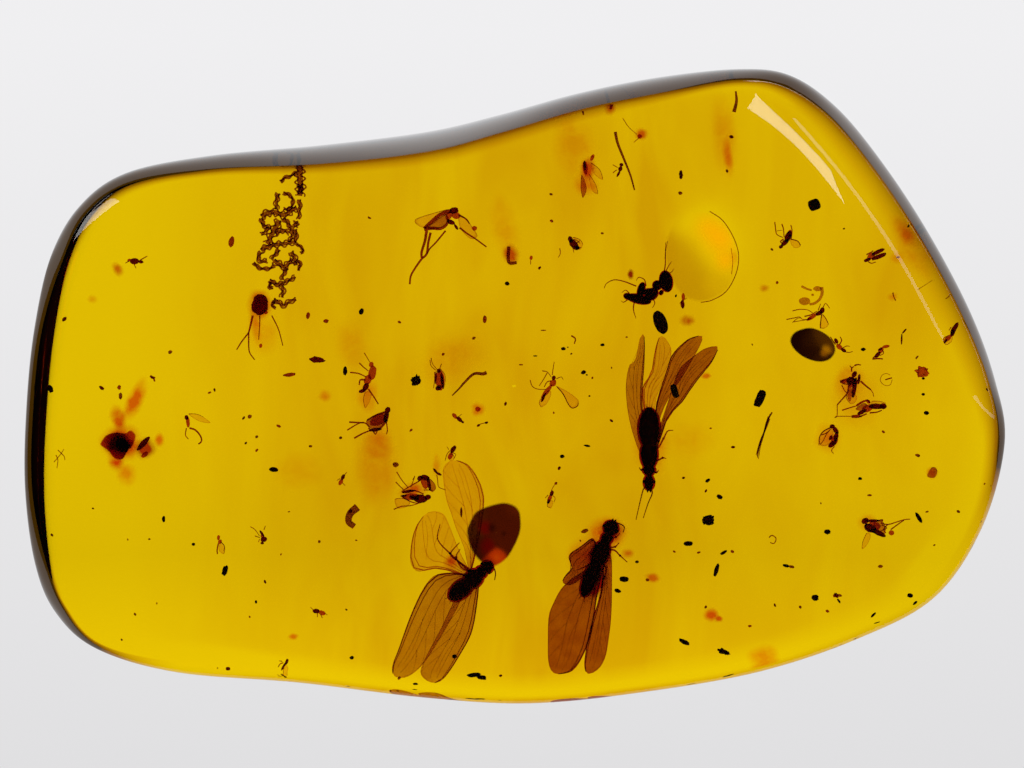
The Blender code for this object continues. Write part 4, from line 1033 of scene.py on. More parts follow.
# Remains too small to be nodes, in the same form as the flies but without a name
REMAINS = (
    (5.6, ((188, 417.5, 2.4, 2.0, 90, DARK), (189.5, 422, 5.5, 1.9, -85, RED)), (
        (1.0, 191, 428, 197, 430, 202, 436, 203, 441, 200, 444),
        (0.6, 188, 428, 187, 435, 190, 439)), (
        (PALE, 190, 414, 198, 414, 205, 417, 212, 423, 200, 421),)),
    (6.4, ((621.5, 167, 2.0, 1.8, 0, DARK), (620.5, 171, 2.6, 2.1, 70, DARK),
           (618.6, 176, 3.6, 1.2, 63, DARK)), (
        (0.5, 613, 167, 618, 170), (0.5, 613, 175, 617, 172)), ()),
    (6.3, ((585.5, 170, 6.8, 2.6, 95, RED), (585, 168, 5.0, 1.4, 95, DARK),
           (592.5, 160, 3.4, 1.8, 65, RED)), (), (
        (DEEP, 582, 177, 581, 190, 583, 200, 587, 190),
        (PALE, 589, 176, 596, 187, 598, 196, 592, 192),
        (PALE, 591, 165, 600, 172, 603, 182, 594, 176))),
    (5.4, ((902, 332, 3.0, 0.9, 50, DARK), (899.6, 340, 5.5, 0.9, 88, DARK)), (
        (0.45, 939, 302, 945, 297, 948.5, 288), (0.3, 913, 292, 926, 283.5),
        (0.6, 890, 294, 891, 298, 893, 302)), ()),
    (6.7, ((435.5, 470, 3.0, 1.3, -50, DARK), (439, 473, 3.2, 1.3, -25, DARK),
           (461.5, 511, 5.0, 1.2, 90, DARK)), (
        (0.5, 437, 474, 438, 480, 439, 486, 446, 489),), ()),
    (5.6, ((145, 443.5, 9.0, 2.8, 47, DARK), (146.5, 454.5, 4.0, 2.4, 35, RED)), (
        (0.5, 58, 455, 60, 460, 59, 468), (0.5, 60, 450, 66, 456, 67, 460),
        (0.4, 56, 462, 62, 455, 66, 449), (1.2, 152, 376, 155, 378, 156.5, 381.5)), ()),
    (5.5, ((478.5, 425, 1.8, 1.2, 30, DARK), (486.5, 422.3, 1.8, 1.2, 10, DARK),
           (478, 409, 2.6, 2.4, 0, RED)), ((0.5, 478, 425, 481, 423.5, 487, 422),), ()),
    (6.4, ((229, 665, 2.2, 2.0, 0, DARK), (221, 668, 6.5, 1.9, 14, DARK),
           (214.5, 670, 4.0, 1.3, 5, RED)), (
        (0.7, 201, 671, 207, 670, 212, 669.5), (0.5, 214, 666, 219, 664),
        (0.5, 221, 670, 219, 674)), ()),
    (5.6, ((531.5, 259.5, 2.2, 1.6, 80, RED), (680.5, 174.5, 2.2, 1.6, 85, DARK),
           (680.5, 179, 2.0, 1.6, 95, DARK), (640, 139, 2.4, 2.2, 0, RED),
           (848.5, 631, 2.5, 1.2, 60, DARK), (849, 635.5, 2.5, 1.2, 120, DARK)), (
        (0.5, 531, 262, 531, 266), (0.5, 560, 250, 560.5, 255, 558.5, 259),
        (0.9, 571, 336, 575, 339, 574, 344), (1.8, 612.5, 103, 612, 108, 611, 112),
        (1.2, 583, 112, 584, 118), (0.4, 623, 121, 629, 130, 637, 137),
        (0.4, 640, 140, 634, 145), (0.6, 768, 536, 771, 534, 775, 537, 773, 542, 769, 541)), (
        (DEEP, 929, 467.5, 933, 467, 935, 471, 932, 477, 925, 475.5),)),
    (5.1, ((262, 346, 2.2, 1.6, 80, RED), (267, 313, 2.2, 1.6, 0, RED)), (
        (1.2, 254, 316, 252, 325, 250, 333), (0.8, 250, 333, 250, 345, 251, 353, 256, 360),
        (0.8, 250, 333, 243, 342, 238, 350), (0.7, 261, 316, 261, 323, 260, 340),
        (0.7, 273, 316, 279, 328, 282, 338, 284, 346)), ()),
)
HUSK = (((816, 289.5, 4.2, 2.6, 0, DARK), (803, 302, 5.6, 4.0, 0, DARK),
         (811, 295.5, 1.4, 1.2, 0, DARK)), (
        (1.3, 800, 287, 805, 289.5, 810, 291),
        (1.8, 820, 288, 820.5, 294, 818, 300, 813, 304, 808, 305)), ())


def remains():
    """Small remains without a node, and the ochre husk."""
    shape = Shape()
    for z, bodies, limbs, wings in REMAINS:
        strokes(shape, z, bodies, limbs, wings)
    shape.build("loose_remains", [MATERIALS[k] for k in SMALL_SKINS], record_slot="gnat_skin")
    shape = Shape()
    strokes(shape, 5.6, *HUSK)
    shape.build("ochre_husk", [MATERIALS["husk"]] * len(SMALL_SKINS), record_slot="debris")


# ----------------------------------------------------------------- other pieces

# Name, x, y, z, length, width, heading, material, then how rough it is and its fullness: 1
# is an oval, less is a box
GRAINS = (
    ("seed_oval", 9.1, 3.95, 6.95, 1.5, 0.82, -69.0, "debris", 0.05, 0.95),
    ("pellet_on_wing", 9.98, -0.32, 6.75, 0.86, 0.42, -73.0, "debris", 0.1, 0.6),
    ("pellet_waisted", 15.3, -0.8, 5.2, 1.05, 0.53, 65.0, "debris", 0.2, 0.65),
    ("pellet_lower_left", -18.0, -11.45, 6.7, 0.6, 0.32, 71.0, "debris", 0.25, 0.8),
    ("pellet_upper_right", 18.66, 11.25, 5.2, 0.72, 0.7, 20.0, "debris", 0.08, 0.55),
    ("pellet_beside_wing", 6.85, -11.97, 6.8, 0.55, 0.34, -5.0, "debris", 0.15, 0.8),
    ("pellet_right_of_head", 10.85, -9.75, 5.2, 0.55, 0.3, 0.0, "debris", 0.15, 0.8),
    ("crumb_square", 12.1, -8.3, 5.3, 0.65, 0.6, 10.0, "debris", 0.4, 0.6),
    ("crumb_long", 12.6, -11.4, 5.2, 0.8, 0.26, 75.0, "brown", 0.25, 1.0),
    ("crumb_left", -14.95, -5.2, 5.2, 0.55, 0.3, -5.0, "debris", 0.15, 0.9),
    ("crumb_star", -6.1, 0.35, 5.3, 0.56, 0.52, 30.0, "debris", 0.5, 0.7),
    ("crumb_red_core", -24.35, -3.7, 5.2, 0.9, 0.75, -30.0, "gnat_dark", 0.3, 0.9),
    ("crumb_rimmed", -15.8, 5.05, 5.2, 1.2, 0.98, 75.0, "gnat_dark", 0.25, 0.85),
    ("crumb_bottom", 13.05, -16.45, 5.3, 0.75, 0.3, -20.0, "brown", 0.5, 1.0),
    ("crumb_bottom_right", 18.75, -13.1, 5.2, 0.42, 0.38, 0.0, "debris", 0.2, 0.8),
    ("crumb_lens_right", 25.15, -8.15, 5.2, 0.7, 0.25, -60.0, "debris", 0.15, 1.0),
    ("crumb_brown_right", 25.35, 0.85, 5.3, 0.68, 0.6, 0.0, "gnat", 0.6, 0.9),
)


def grains():
    """Seed, pellets and crumbs."""
    for k, (name, x, y, z, long, wide, heading, kind, rough, boxy) in enumerate(GRAINS):
        shape = Shape()
        half = (long / 2, wide / 2, wide * 0.42)
        shape.lump(frame_at(x, y, z, heading), half, 0, rough, k + 1, 24, 18, boxy)
        shape.build(name + "_detail", [MATERIALS[kind]], (name,), "debris")


# Name, half width at the start and at the end, height in the stone, then the line along it
STRANDS = (
    ("plant_rod", 0.1, 0.05, 5.2, (
        (6.35, 15.7), (6.5, 15.0), (6.9, 14.0), (7.3, 13.0), (7.55, 12.1))),
    ("bark_sliver", 0.12, 0.06, 6.7, ((13.7, 16.95), (13.85, 17.6), (13.8, 18.2))),
    ("fibre_bundle", 0.12, 0.05, 6.8, (
        (15.95, -1.75), (15.75, -2.2), (15.55, -2.9), (15.3, -3.6), (15.12, -4.4))),
    ("curved_filament", 0.12, 0.04, 5.3, (
        (-1.72, 0.82), (-1.95, 0.75), (-2.5, 0.75), (-3.1, 0.2), (-3.4, -0.15), (-3.85, -0.6))),
    ("bean_husk", 0.25, 0.18, 6.8, ((-9.75, -7.5), (-10.2, -7.9), (-10.3, -8.4), (-9.95, -8.7))),
    ("bent_stalk", 0.12, 0.1, 5.2, ((-0.3, 8.6), (-0.3, 7.65), (0.2, 7.6))),
)


def strands():
    """Threads and slivers of plants. The fibre bundle is six frayed fibres."""
    for name, radius, end, z, route in STRANDS:
        shape = Shape()
        line = [(*p, z + 0.05 * math.sin(k)) for k, p in enumerate(route)]
        if name == "fibre_bundle":
            for k, side in enumerate((-0.2, -0.09, 0.0, 0.08, 0.16, 0.24)):
                fray = [(x + side * (0.6 - 0.25 * j), y + side * 0.7, z + 0.04 * k)
                        for j, (x, y, z) in enumerate(line[k % 2:])]
                shape.tube(fray, 0.05, 0, 6, 0.02)
        else:
            shape.tube(line, radius, 0, 10, end, steps=6)
        shape.build(name + "_detail", [MATERIALS["plant"]], (name,), "plant_fibre")


# Folds of the frilled strand, in picture steps: half width, then x, y along the fold
FRILLS = (
    (4.6, 301, 169, 300, 178, 301, 190, 300, 199), (2.8, 301, 188, 301, 197),
    (1.8, 300, 203, 300, 212, 299, 222), (2.4, 297, 224, 296, 230),
    (1.6, 296, 232, 297, 238, 296, 245), (1.1, 297, 246, 301, 249, 304, 253, 301, 255),
    (1.4, 281, 185, 286, 181, 290, 180, 297, 176), (2.4, 279, 197, 277, 203, 277, 212),
    (3.4, 262, 219, 268, 216, 275, 215, 285, 218, 292, 213, 297, 211),
    (1.5, 284, 196, 292, 200, 293, 207, 290, 212, 284, 212),
    (3.8, 280, 223, 275, 232, 271, 240, 268, 246),
    (2.0, 262, 221, 264, 228, 270, 230, 266, 234, 262, 237),
    (2.0, 284, 221, 290, 228, 293, 236, 290, 244), (2.4, 276, 236, 283, 233, 290, 235),
    (2.8, 262, 252, 268, 249, 275, 247, 285, 246, 296, 244),
    (2.0, 262, 254, 259, 259, 262, 263, 268, 262), (3.0, 275, 262, 280, 266, 286, 268, 293, 261),
    (2.8, 292, 254, 295, 260, 296, 267), (1.5, 255, 264, 260, 269, 270, 270, 275, 267),
    (1.4, 297, 262, 301, 266, 299, 272), (2.0, 280, 252, 276, 256, 272, 261),
    (2.0, 288, 270, 284, 276, 283, 281), (2.0, 271, 281, 277, 285, 284, 284, 291, 281, 296, 278),
    (1.3, 272, 284, 270, 288, 274, 289), (2.4, 283, 286, 284, 292, 283, 298),
    (2.2, 275, 300, 281, 304, 285, 306, 291, 302, 297, 300), (1.3, 276, 302, 273, 306, 277, 308),
)


def frilled_strand():
    """Ruffled folds: each is a soft band with two thin edges that wind round it."""
    luck = random.Random(7)
    shape = Shape()
    for wide, *places in FRILLS:
        z = 5.2 + luck.uniform(-0.2, 0.2)
        line = [Vector(p) for p in smooth_open(picture_line(z, places), 6)]
        line = resample(line, max(6, int(sum((b - a).length for a, b in zip(line, line[1:])) * 8)))
        shape.tube(line, wide / 16 * 0.75, 0, 8, wide / 16 * 0.6, steps=1)
        for turn in (0.0, math.pi):
            start, rate = luck.uniform(0, 1.2), luck.uniform(1.3, 1.9)
            edge = []
            for k, p in enumerate(line):
                run = (line[min(k + 1, len(line) - 1)] - line[max(k - 1, 0)]).normalized()
                side = Vector((-run.y, run.x, 0.0))
                w = start + turn + rate * k
                reach = wide / 16 * (0.75 + 0.5 * math.sin(w))
                edge.append(p + side * reach * (1 if turn else -1) + Vector((0, 0, 0.1 * math.cos(w))))
            shape.tube(edge, 0.065, 0, 5, 0.05, steps=2)
    shape.build("frilled_strand_detail", [MATERIALS["frill"]], ("frilled_strand",), "plant_fibre")


# Crumbs and rods without a node, in picture steps: x, y, length, width, heading, skin slot
SHARDS = (
    (617.3, 588.8, 6.5, 4, -20, 0), (584.5, 529.5, 7, 4, 20, 2), (636.5, 560.2, 3.6, 3, 0, 0),
    (683.5, 639.5, 11, 4.6, -27, 0), (837.3, 598.5, 5, 2.2, -55, 0), (507.5, 285, 4.5, 4, 0, 0),
    (485, 320.4, 7, 4, 88, 3), (309, 316, 6.5, 4, 80, 3), (327, 321.5, 5, 4, 0, 3),
    (362, 312.4, 6, 4.6, 80, 0), (232.4, 243.6, 10, 5.6, 80, 3), (122.3, 396, 6.5, 3.8, 85, 2),
    (52.5, 389, 8, 5.5, -60, 0), (346, 371, 8.5, 4.2, 85, 0), (318, 360, 15, 6, -5, 1),
    (290.8, 374.8, 12, 4, 7, 3), (583, 372.5, 5, 4, 20, 0), (586.4, 375, 2, 1.6, 0, 0),
    (563, 349, 4.4, 3.4, 0, 0), (567.5, 347.5, 1.6, 1.4, 0, 0), (602, 345.2, 4, 3, 0, 0),
    (562, 455.6, 4.5, 3.6, 0, 0), (586.8, 445.2, 6.5, 2.2, -10, 0), (861.5, 350, 4.6, 3.6, 0, 0),
    (924.4, 413.2, 4.8, 4, 0, 0), (921.2, 394.8, 3.4, 2.8, 0, 0), (858.5, 478, 4, 3, 0, 0),
    (706.8, 479.8, 5, 3.4, 30, 0), (718.8, 495.8, 6.4, 4.2, -30, 0), (722.8, 551, 7.5, 3.2, 30, 0),
    (785, 564, 6.5, 3.2, -12, 0), (790.4, 565, 6, 3, -12, 2), (826, 530.8, 6.4, 5.2, 0, 0),
    (352.4, 654.8, 4.2, 3.6, 0, 0), (256.6, 599.6, 3.4, 2.4, 90, 0), (194.9, 543.5, 3.6, 3, 0, 0),
    (165.2, 518.8, 6.2, 3.2, 90, 0), (454.8, 654, 4.8, 4.2, 0, 0), (474, 672.4, 14, 4.6, 5, 0),
    (482, 674.8, 9.6, 4.6, -10, 0), (675, 296.5, 3, 1.8, 75, 0), (647, 578, 3.4, 3, 0, 2),
    (924.5, 510.5, 3.4, 1.8, 20, 2), (868, 494.5, 4.4, 2.2, 0, 2), (907, 592.5, 5.4, 4.4, 0, 0),
    (871, 612, 6.4, 2.4, 45, 0), (878.5, 564.5, 4.6, 3.2, 0, 2), (921, 379, 3, 2.6, 0, 0),
    (543.5, 331, 5.5, 1.3, 0, 2), (521, 365, 4.4, 1.5, 0, 2), (535.5, 356.3, 4.2, 1.3, 0, 0),
    (893, 260, 3.4, 1.8, 0, 2), (902.5, 229.5, 4.4, 2.2, 50, 0), (724, 674, 13, 4.4, 18, 0),
    (679.6, 194.7, 4, 3.4, 0, 2), (396, 464, 5.5, 5, 0, 2), (416, 681, 5, 2.4, 0, 0),
)
# x, y and size of the specks, in picture steps
SPECKS = (
    (103.5, 388, 5), (154.5, 377.7, 4), (171.8, 352.4, 4), (216, 390, 3), (211, 392.7, 3),
    (251, 416.5, 4), (245, 418, 3), (279.8, 426, 4), (258, 436.6, 3), (247, 443, 3),
    (258, 450, 3), (311.5, 446, 3), (341.5, 437.5, 3), (443.5, 354.5, 3), (474, 338.7, 3),
    (505.5, 403.5, 4), (411.5, 430, 3), (611, 368, 2), (589, 396, 2), (553.5, 412.5, 2),
    (626, 337.5, 2), (571, 354, 2), (592, 378, 2), (751, 345, 2), (732, 446.7, 3),
    (709.6, 428, 2), (914.5, 358, 3), (982, 392, 3), (881.5, 431.6, 3), (915.8, 455, 4),
    (95, 508, 2), (129.5, 539, 2), (151, 538.5, 2), (54, 534.5, 3), (290, 511, 2),
    (319.9, 540, 3), (265.7, 580, 3), (281.5, 552.5, 2), (356.5, 538.5, 2), (705, 490, 3),
    (731.5, 550, 3), (819.5, 502.5, 2), (955, 510, 3), (981.5, 482.7, 2), (931, 543, 2),
    (559, 467.3, 3), (555.8, 482.3, 3), (580, 539, 2), (682.7, 477.1, 3), (673.7, 549.8, 3),
    (250, 614.2, 2), (346.9, 607.6, 2), (158, 601.7, 2), (136.5, 612.5, 3), (123, 636.6, 2),
    (833, 593.5, 3), (838, 592.8, 4), (849.3, 632.8, 4), (826, 609, 3), (799, 605, 3),
    (773.7, 603.4, 3), (748.8, 624.2, 3), (399.8, 675.7, 3), (500.7, 673, 3), (775.7, 283.3, 3),
    (770.5, 250.4, 3), (842, 229.8, 2), (551.9, 222.7, 3), (602.5, 235, 3), (539.8, 269.4, 3),
    (399.8, 323, 3), (369.8, 220.6, 3), (730.4, 138.5, 4), (680.7, 176.8, 5), (551.7, 197, 3),
    (726, 172.5, 3), (121, 387.5, 4), (67, 320, 5), (610.9, 420.4, 3), (350.5, 510, 4),
    (862.4, 628.4, 3), (835, 593, 5), (698, 551, 3), (705, 605, 3),
)


SMALL_SPECK = 4.5  # specks below this take turns in three skins


def specks():
    """Every crumb and speck that is no node, in one piece."""
    shape, luck = Shape(), random.Random(11)
    for k, (x, y, long, wide, heading, kind) in enumerate(SHARDS):
        at = frame_at(*spot(x, y), luck.uniform(4.6, 5.6), heading)
        shape.lump(at, (long / 32, wide / 32, wide / 36), kind, 0.3, k, 14, 10)
    for k, (x, y, size) in enumerate(SPECKS):
        r = size / 32
        at = frame_at(*spot(x, y), luck.uniform(3.6, 8.0), luck.uniform(0, 180))
        half = (r * luck.uniform(1.0, 1.3), r * luck.uniform(0.65, 1.0), r * 0.7)
        shape.lump(at, half, (1, 3, 2)[k % 3] if size < SMALL_SPECK else 1, 0.3, k, 9, 7)
    skins = ("debris", "gnat_dark", "plant", "limb")
    shape.build("specks", [MATERIALS[k] for k in skins], record_slot="debris")


# In picture steps: x, y, half width, half height, then turn, tint, strength and height in
# the stone
STAINS = (
    # the left crumb's red halo and its plume
    (124, 443, 24, 20, 0, (0.75, 0.05, 0.0), 1.0, 5.9),
    (120, 443, 17, 13, 0, (0.25, 0.0, 0.0), 1.0, 5.8),
    (118, 460, 10, 12, 10, (0.8, 0.18, 0.0), 0.8, 6.0),
    (137, 400, 10, 26, -25, (0.85, 0.32, 0.02), 0.9, 5.9),
    (120, 418, 9, 16, 20, (0.8, 0.28, 0.02), 0.8, 6.1),
    (147, 448, 13, 12, 30, (0.55, 0.12, 0.01), 0.9, 6.2),
    (128, 474, 12, 14, 0, (0.9, 0.45, 0.05), 0.6, 6.1),
    (161, 440, 6, 8, 0, (0.9, 0.4, 0.02), 0.8, 6.0),
    # the crumb with a rim and its membrane
    (261, 305, 15, 16, 0, (0.75, 0.1, 0.0), 1.0, 5.9),
    (264, 334, 19, 24, 0, (0.93, 0.68, 0.2), 0.5, 6.0),
    (257, 327, 7, 20, 12, (0.88, 0.42, 0.04), 0.5, 5.8),
    # round the lower termite's head and its sides
    (611, 529, 15, 14, 0, (0.55, 0.03, 0.0), 1.0, 5.4),
    (606, 531, 22, 20, 0, (0.88, 0.3, 0.02), 0.8, 5.3),
    (596, 581, 13, 22, -22, (0.45, 0.02, 0.0), 1.0, 5.4),
    (600, 552, 15, 20, -22, (0.6, 0.06, 0.0), 0.9, 5.35),
    (585, 556, 22, 22, 0, (0.85, 0.3, 0.03), 0.6, 5.3),
    (650, 440, 20, 38, 5, (0.85, 0.35, 0.03), 0.5, 5.3),
    # soft orange marks
    (710.5, 613, 9, 8, 0, (0.85, 0.28, 0.03), 0.9, 6.2),
    (718, 617, 5, 4, 0, (0.8, 0.3, 0.03), 0.9, 6.2),
    (762, 654, 17, 14, 10, (0.93, 0.6, 0.12), 0.8, 5.0),
    (686, 321, 9, 7, 10, (0.7, 0.3, 0.03), 0.9, 6.0),
    (478, 409, 8, 8, 0, (0.85, 0.32, 0.03), 0.8, 6.0),
    (652, 576, 9, 6, 0, (0.85, 0.4, 0.05), 0.8, 6.0),
    (627, 552, 8, 6, 0, (0.85, 0.45, 0.05), 0.7, 6.0),
    (763, 289, 6, 5, 0, (0.8, 0.5, 0.08), 0.6, 6.0),
    (630, 275, 4, 6, 0, (0.45, 0.1, 0.01), 1.0, 6.0),
    (326, 396, 8, 7, 0, (0.9, 0.55, 0.1), 0.6, 6.0),
    (294, 634, 6, 4, 0, (0.88, 0.45, 0.06), 0.8, 6.0),
    (378, 443, 18, 22, 0, (0.88, 0.5, 0.08), 0.65, 5.7),
    (368, 395, 12, 20, 0, (0.9, 0.5, 0.08), 0.6, 5.7),
    (588, 172, 9, 14, -10, (0.75, 0.22, 0.02), 1.0, 6.0),
    (586, 186, 14, 14, 0, (0.9, 0.5, 0.08), 0.7, 6.1),
    (641, 137, 8, 7, 0, (0.78, 0.3, 0.03), 0.9, 6.0),
    (610, 110, 7, 10, 0, (0.75, 0.35, 0.05), 0.8, 6.0),
    (571, 112, 8, 6, 0, (0.8, 0.42, 0.06), 0.7, 6.0),
    (727, 158, 6, 22, 6, (0.9, 0.5, 0.08), 0.7, 6.0),
    (511, 256, 10, 12, 20, (0.72, 0.25, 0.02), 0.9, 6.0),
    (900, 236, 9, 20, 35, (0.88, 0.5, 0.08), 0.7, 6.4),
    (893, 260, 8, 7, 0, (0.9, 0.55, 0.1), 0.5, 6.4),
    (890, 298, 6, 5, 0, (0.9, 0.55, 0.1), 0.5, 6.4),
    (930, 472, 7, 7, 0, (0.85, 0.42, 0.05), 0.9, 6.0),
    (826, 438, 15, 17, 0, (0.9, 0.5, 0.1), 0.6, 5.6),
    (847, 382, 17, 18, 0, (0.85, 0.38, 0.05), 0.6, 5.6),
    (866, 522, 12, 10, 0, (0.85, 0.42, 0.06), 0.6, 5.6),
    (705, 376, 6, 4, 0, (0.88, 0.45, 0.05), 0.8, 6.0),
    (120, 270, 6, 9, 20, (0.75, 0.35, 0.04), 0.8, 6.0),
    (95, 300, 6, 5, 0, (0.88, 0.6, 0.15), 0.5, 6.0),
    (437, 465, 5, 14, 0, (0.9, 0.55, 0.1), 0.6, 6.0),
    (413, 489, 18, 9, 10, (0.8, 0.3, 0.03), 0.7, 5.9),
    (452, 560, 9, 9, 0, (0.8, 0.3, 0.02), 0.9, 6.4),
    # faint clouds
    (378, 470, 26, 40, 0, (0.95, 0.78, 0.3), 0.8, 4.6),
    (352, 345, 18, 30, 10, (0.95, 0.8, 0.35), 0.6, 4.7),
    (450, 360, 40, 28, 25, (0.95, 0.82, 0.4), 0.7, 4.5),
    (575, 150, 24, 36, 10, (0.94, 0.78, 0.35), 0.8, 4.6),
    (724, 140, 14, 46, 5, (0.94, 0.76, 0.3), 0.7, 4.7),
    (505, 230, 16, 40, 8, (0.95, 0.8, 0.35), 0.7, 4.5),
    (855, 400, 30, 34, 0, (0.95, 0.8, 0.35), 0.6, 4.6),
    (905, 250, 16, 40, 30, (0.93, 0.74, 0.3), 0.8, 4.7),
    (300, 470, 30, 22, 0, (0.96, 0.84, 0.45), 0.6, 4.5),
    (690, 440, 30, 24, 0, (0.96, 0.84, 0.45), 0.5, 4.5),
)


STAIN_DEPTH = 1.35  # deepens the tints and the strengths above
STAIN_WAVE = 0.16  # how far a stain's edge wanders, against its size


def stain_disc(shape, tints, row, seed):
    """One soft spot: its shade is full in the middle and nothing at its wavy edge."""
    rings, sides = 7, 28
    x, y, wide, high, turn, tint, strength, z = row
    tint = tuple(c**STAIN_DEPTH for c in tint)
    centre = Vector(spot(x, y))
    spin = Matrix.Rotation(math.radians(turn), 2)
    rows, shades = [], []
    for i in range(rings + 1):
        r = i / rings
        row_points, row_shades = [], []
        for j in range(sides):
            w = 2 * math.pi * j / sides
            c, s = math.cos(w), math.sin(w)
            wave = 1 + STAIN_WAVE * noise.noise(Vector((c * 1.3, s * 1.3, seed * 2.7)))
            p = spin @ Vector((c * wide / 16, s * high / 16)) * max(r, 0.001) * wave
            row_points.append((*(centre + p), z + 0.1 * r * r * math.sin(2 * w + seed)))
            row_shades.append(strength * STAIN_DEPTH * (1 - r * r) ** 1.6)
        rows.append(row_points)
        shades.append(row_shades)
    before = len(shape.points)
    shape.grid(rows, 0, shades=shades, caps=False)
    tints += [tint] * (len(shape.points) - before)


def put_tints(item, tints):
    """Keeps a tint for each point of a piece."""
    layer = item.data.attributes.new("tint", "FLOAT_COLOR", "POINT")
    layer.data.foreach_set("color", [c for t in tints for c in (*t, 1.0)])


def stains():
    """All the soft spots, in one piece."""
    shape, tints = Shape(), []
    for k, row in enumerate(STAINS):
        stain_disc(shape, tints, row, seed=k)
    put_tints(shape.build("resin_stains", [MATERIALS["stain"]], record_slot="amber"), tints)


# Places where the resin is clearer or browner than round them, in picture steps:
# x, y, half width, half height, turn, gain. The first two are a painted highlight instead: they
# clear the sheet over the bright crack, standing in for the light that crack mirrors
FLOWS_AND_HIGHLIGHTS = (
    (714, 240, 26, 34, 20, -1.6), (692, 222, 24, 12, 20, -1.0), (240, 655, 75, 9, -6, -1.6),
    (926, 560, 10, 36, -38, -2.2), (365, 400, 14, 110, 3, 0.9), (392, 440, 9, 70, -4, 0.9),
    (440, 380, 34, 46, 10, 0.9), (540, 380, 60, 40, 0, 0.5), (483, 380, 12, 110, 4, 0.7),
    (506, 400, 9, 90, 0, 0.5), (590, 170, 30, 44, 10, 0.8), (722, 140, 16, 50, 8, 0.8),
    (640, 210, 50, 60, 20, 0.3),
    (870, 250, 50, 70, 30, 0.6), (900, 320, 40, 60, 20, 0.4), (150, 440, 50, 40, 0, 0.5),
    (440, 450, 60, 60, 0, 0.4), (640, 450, 70, 80, 0, 0.3),
    (850, 400, 60, 60, 0, 0.4), (560, 640, 90, 40, 0, 0.3), (760, 620, 70, 30, 0, 0.3),
)
BROWN = (0.84, 0.68, 0.9)
FLOW_REACH = 0.955  # how much of the outline the sheet of flows takes up
FLOW_HEIGHT = 3.6
FLOW_RINGS = 70
FLOW_FADE = 0.06  # share of the sheet over which it fades at its edge


def rise(value, start, width):
    """0 up to start, then evenly up to 1 over the width."""
    return min(max((value - start) / width, 0.0), 1.0)


def browning_and_highlight(x, y):
    """How brown the resin is at a place of the picture, from 0 to 1: least at the left, and lowered
    over the bright crack as a painted highlight.
    """
    amount = 0.72 * rise(x, 130, 200)
    amount *= 1 - 0.42 * rise(x, 650, 100)
    amount += 0.5 * rise(x, 820, 90) * rise(420 - y, 0, 160)
    for a, b, wide, high, turn, gain in FLOWS_AND_HIGHLIGHTS:
        w = math.radians(turn)
        u, v = x - a, b - y
        along = (u * math.cos(w) + v * math.sin(w)) / wide
        across = (v * math.cos(w) - u * math.sin(w)) / high
        amount += gain * math.exp(-along * along - across * across) * 0.5
    return min(max(amount, 0.0), 1.0)


def flow_layer():
    """One sheet across the stone that carries the slow changes of its colour and the painted highlight
    over the bright crack.
    """
    loop = smooth_closed([row[:2] for row in OUTLINE], 10)
    rows, shades = [], []
    for i in range(FLOW_RINGS + 1):
        share = FLOW_REACH * max(i / FLOW_RINGS, 0.004)
        rows.append([(x * share, y * share, FLOW_HEIGHT) for x, y in loop])
        fade = 1 - max(i / FLOW_RINGS - 1 + FLOW_FADE, 0.0) / FLOW_FADE
        shades.append([fade * browning_and_highlight(514 + 16 * p[0], 386 - 16 * p[1]) for p in rows[-1]])
    shape = Shape()
    shape.grid(rows, caps=False, shades=shades)
    item = shape.build("resin_flow", [MATERIALS["flow"]], record_slot="amber")
    put_tints(item, [BROWN] * len(shape.points))
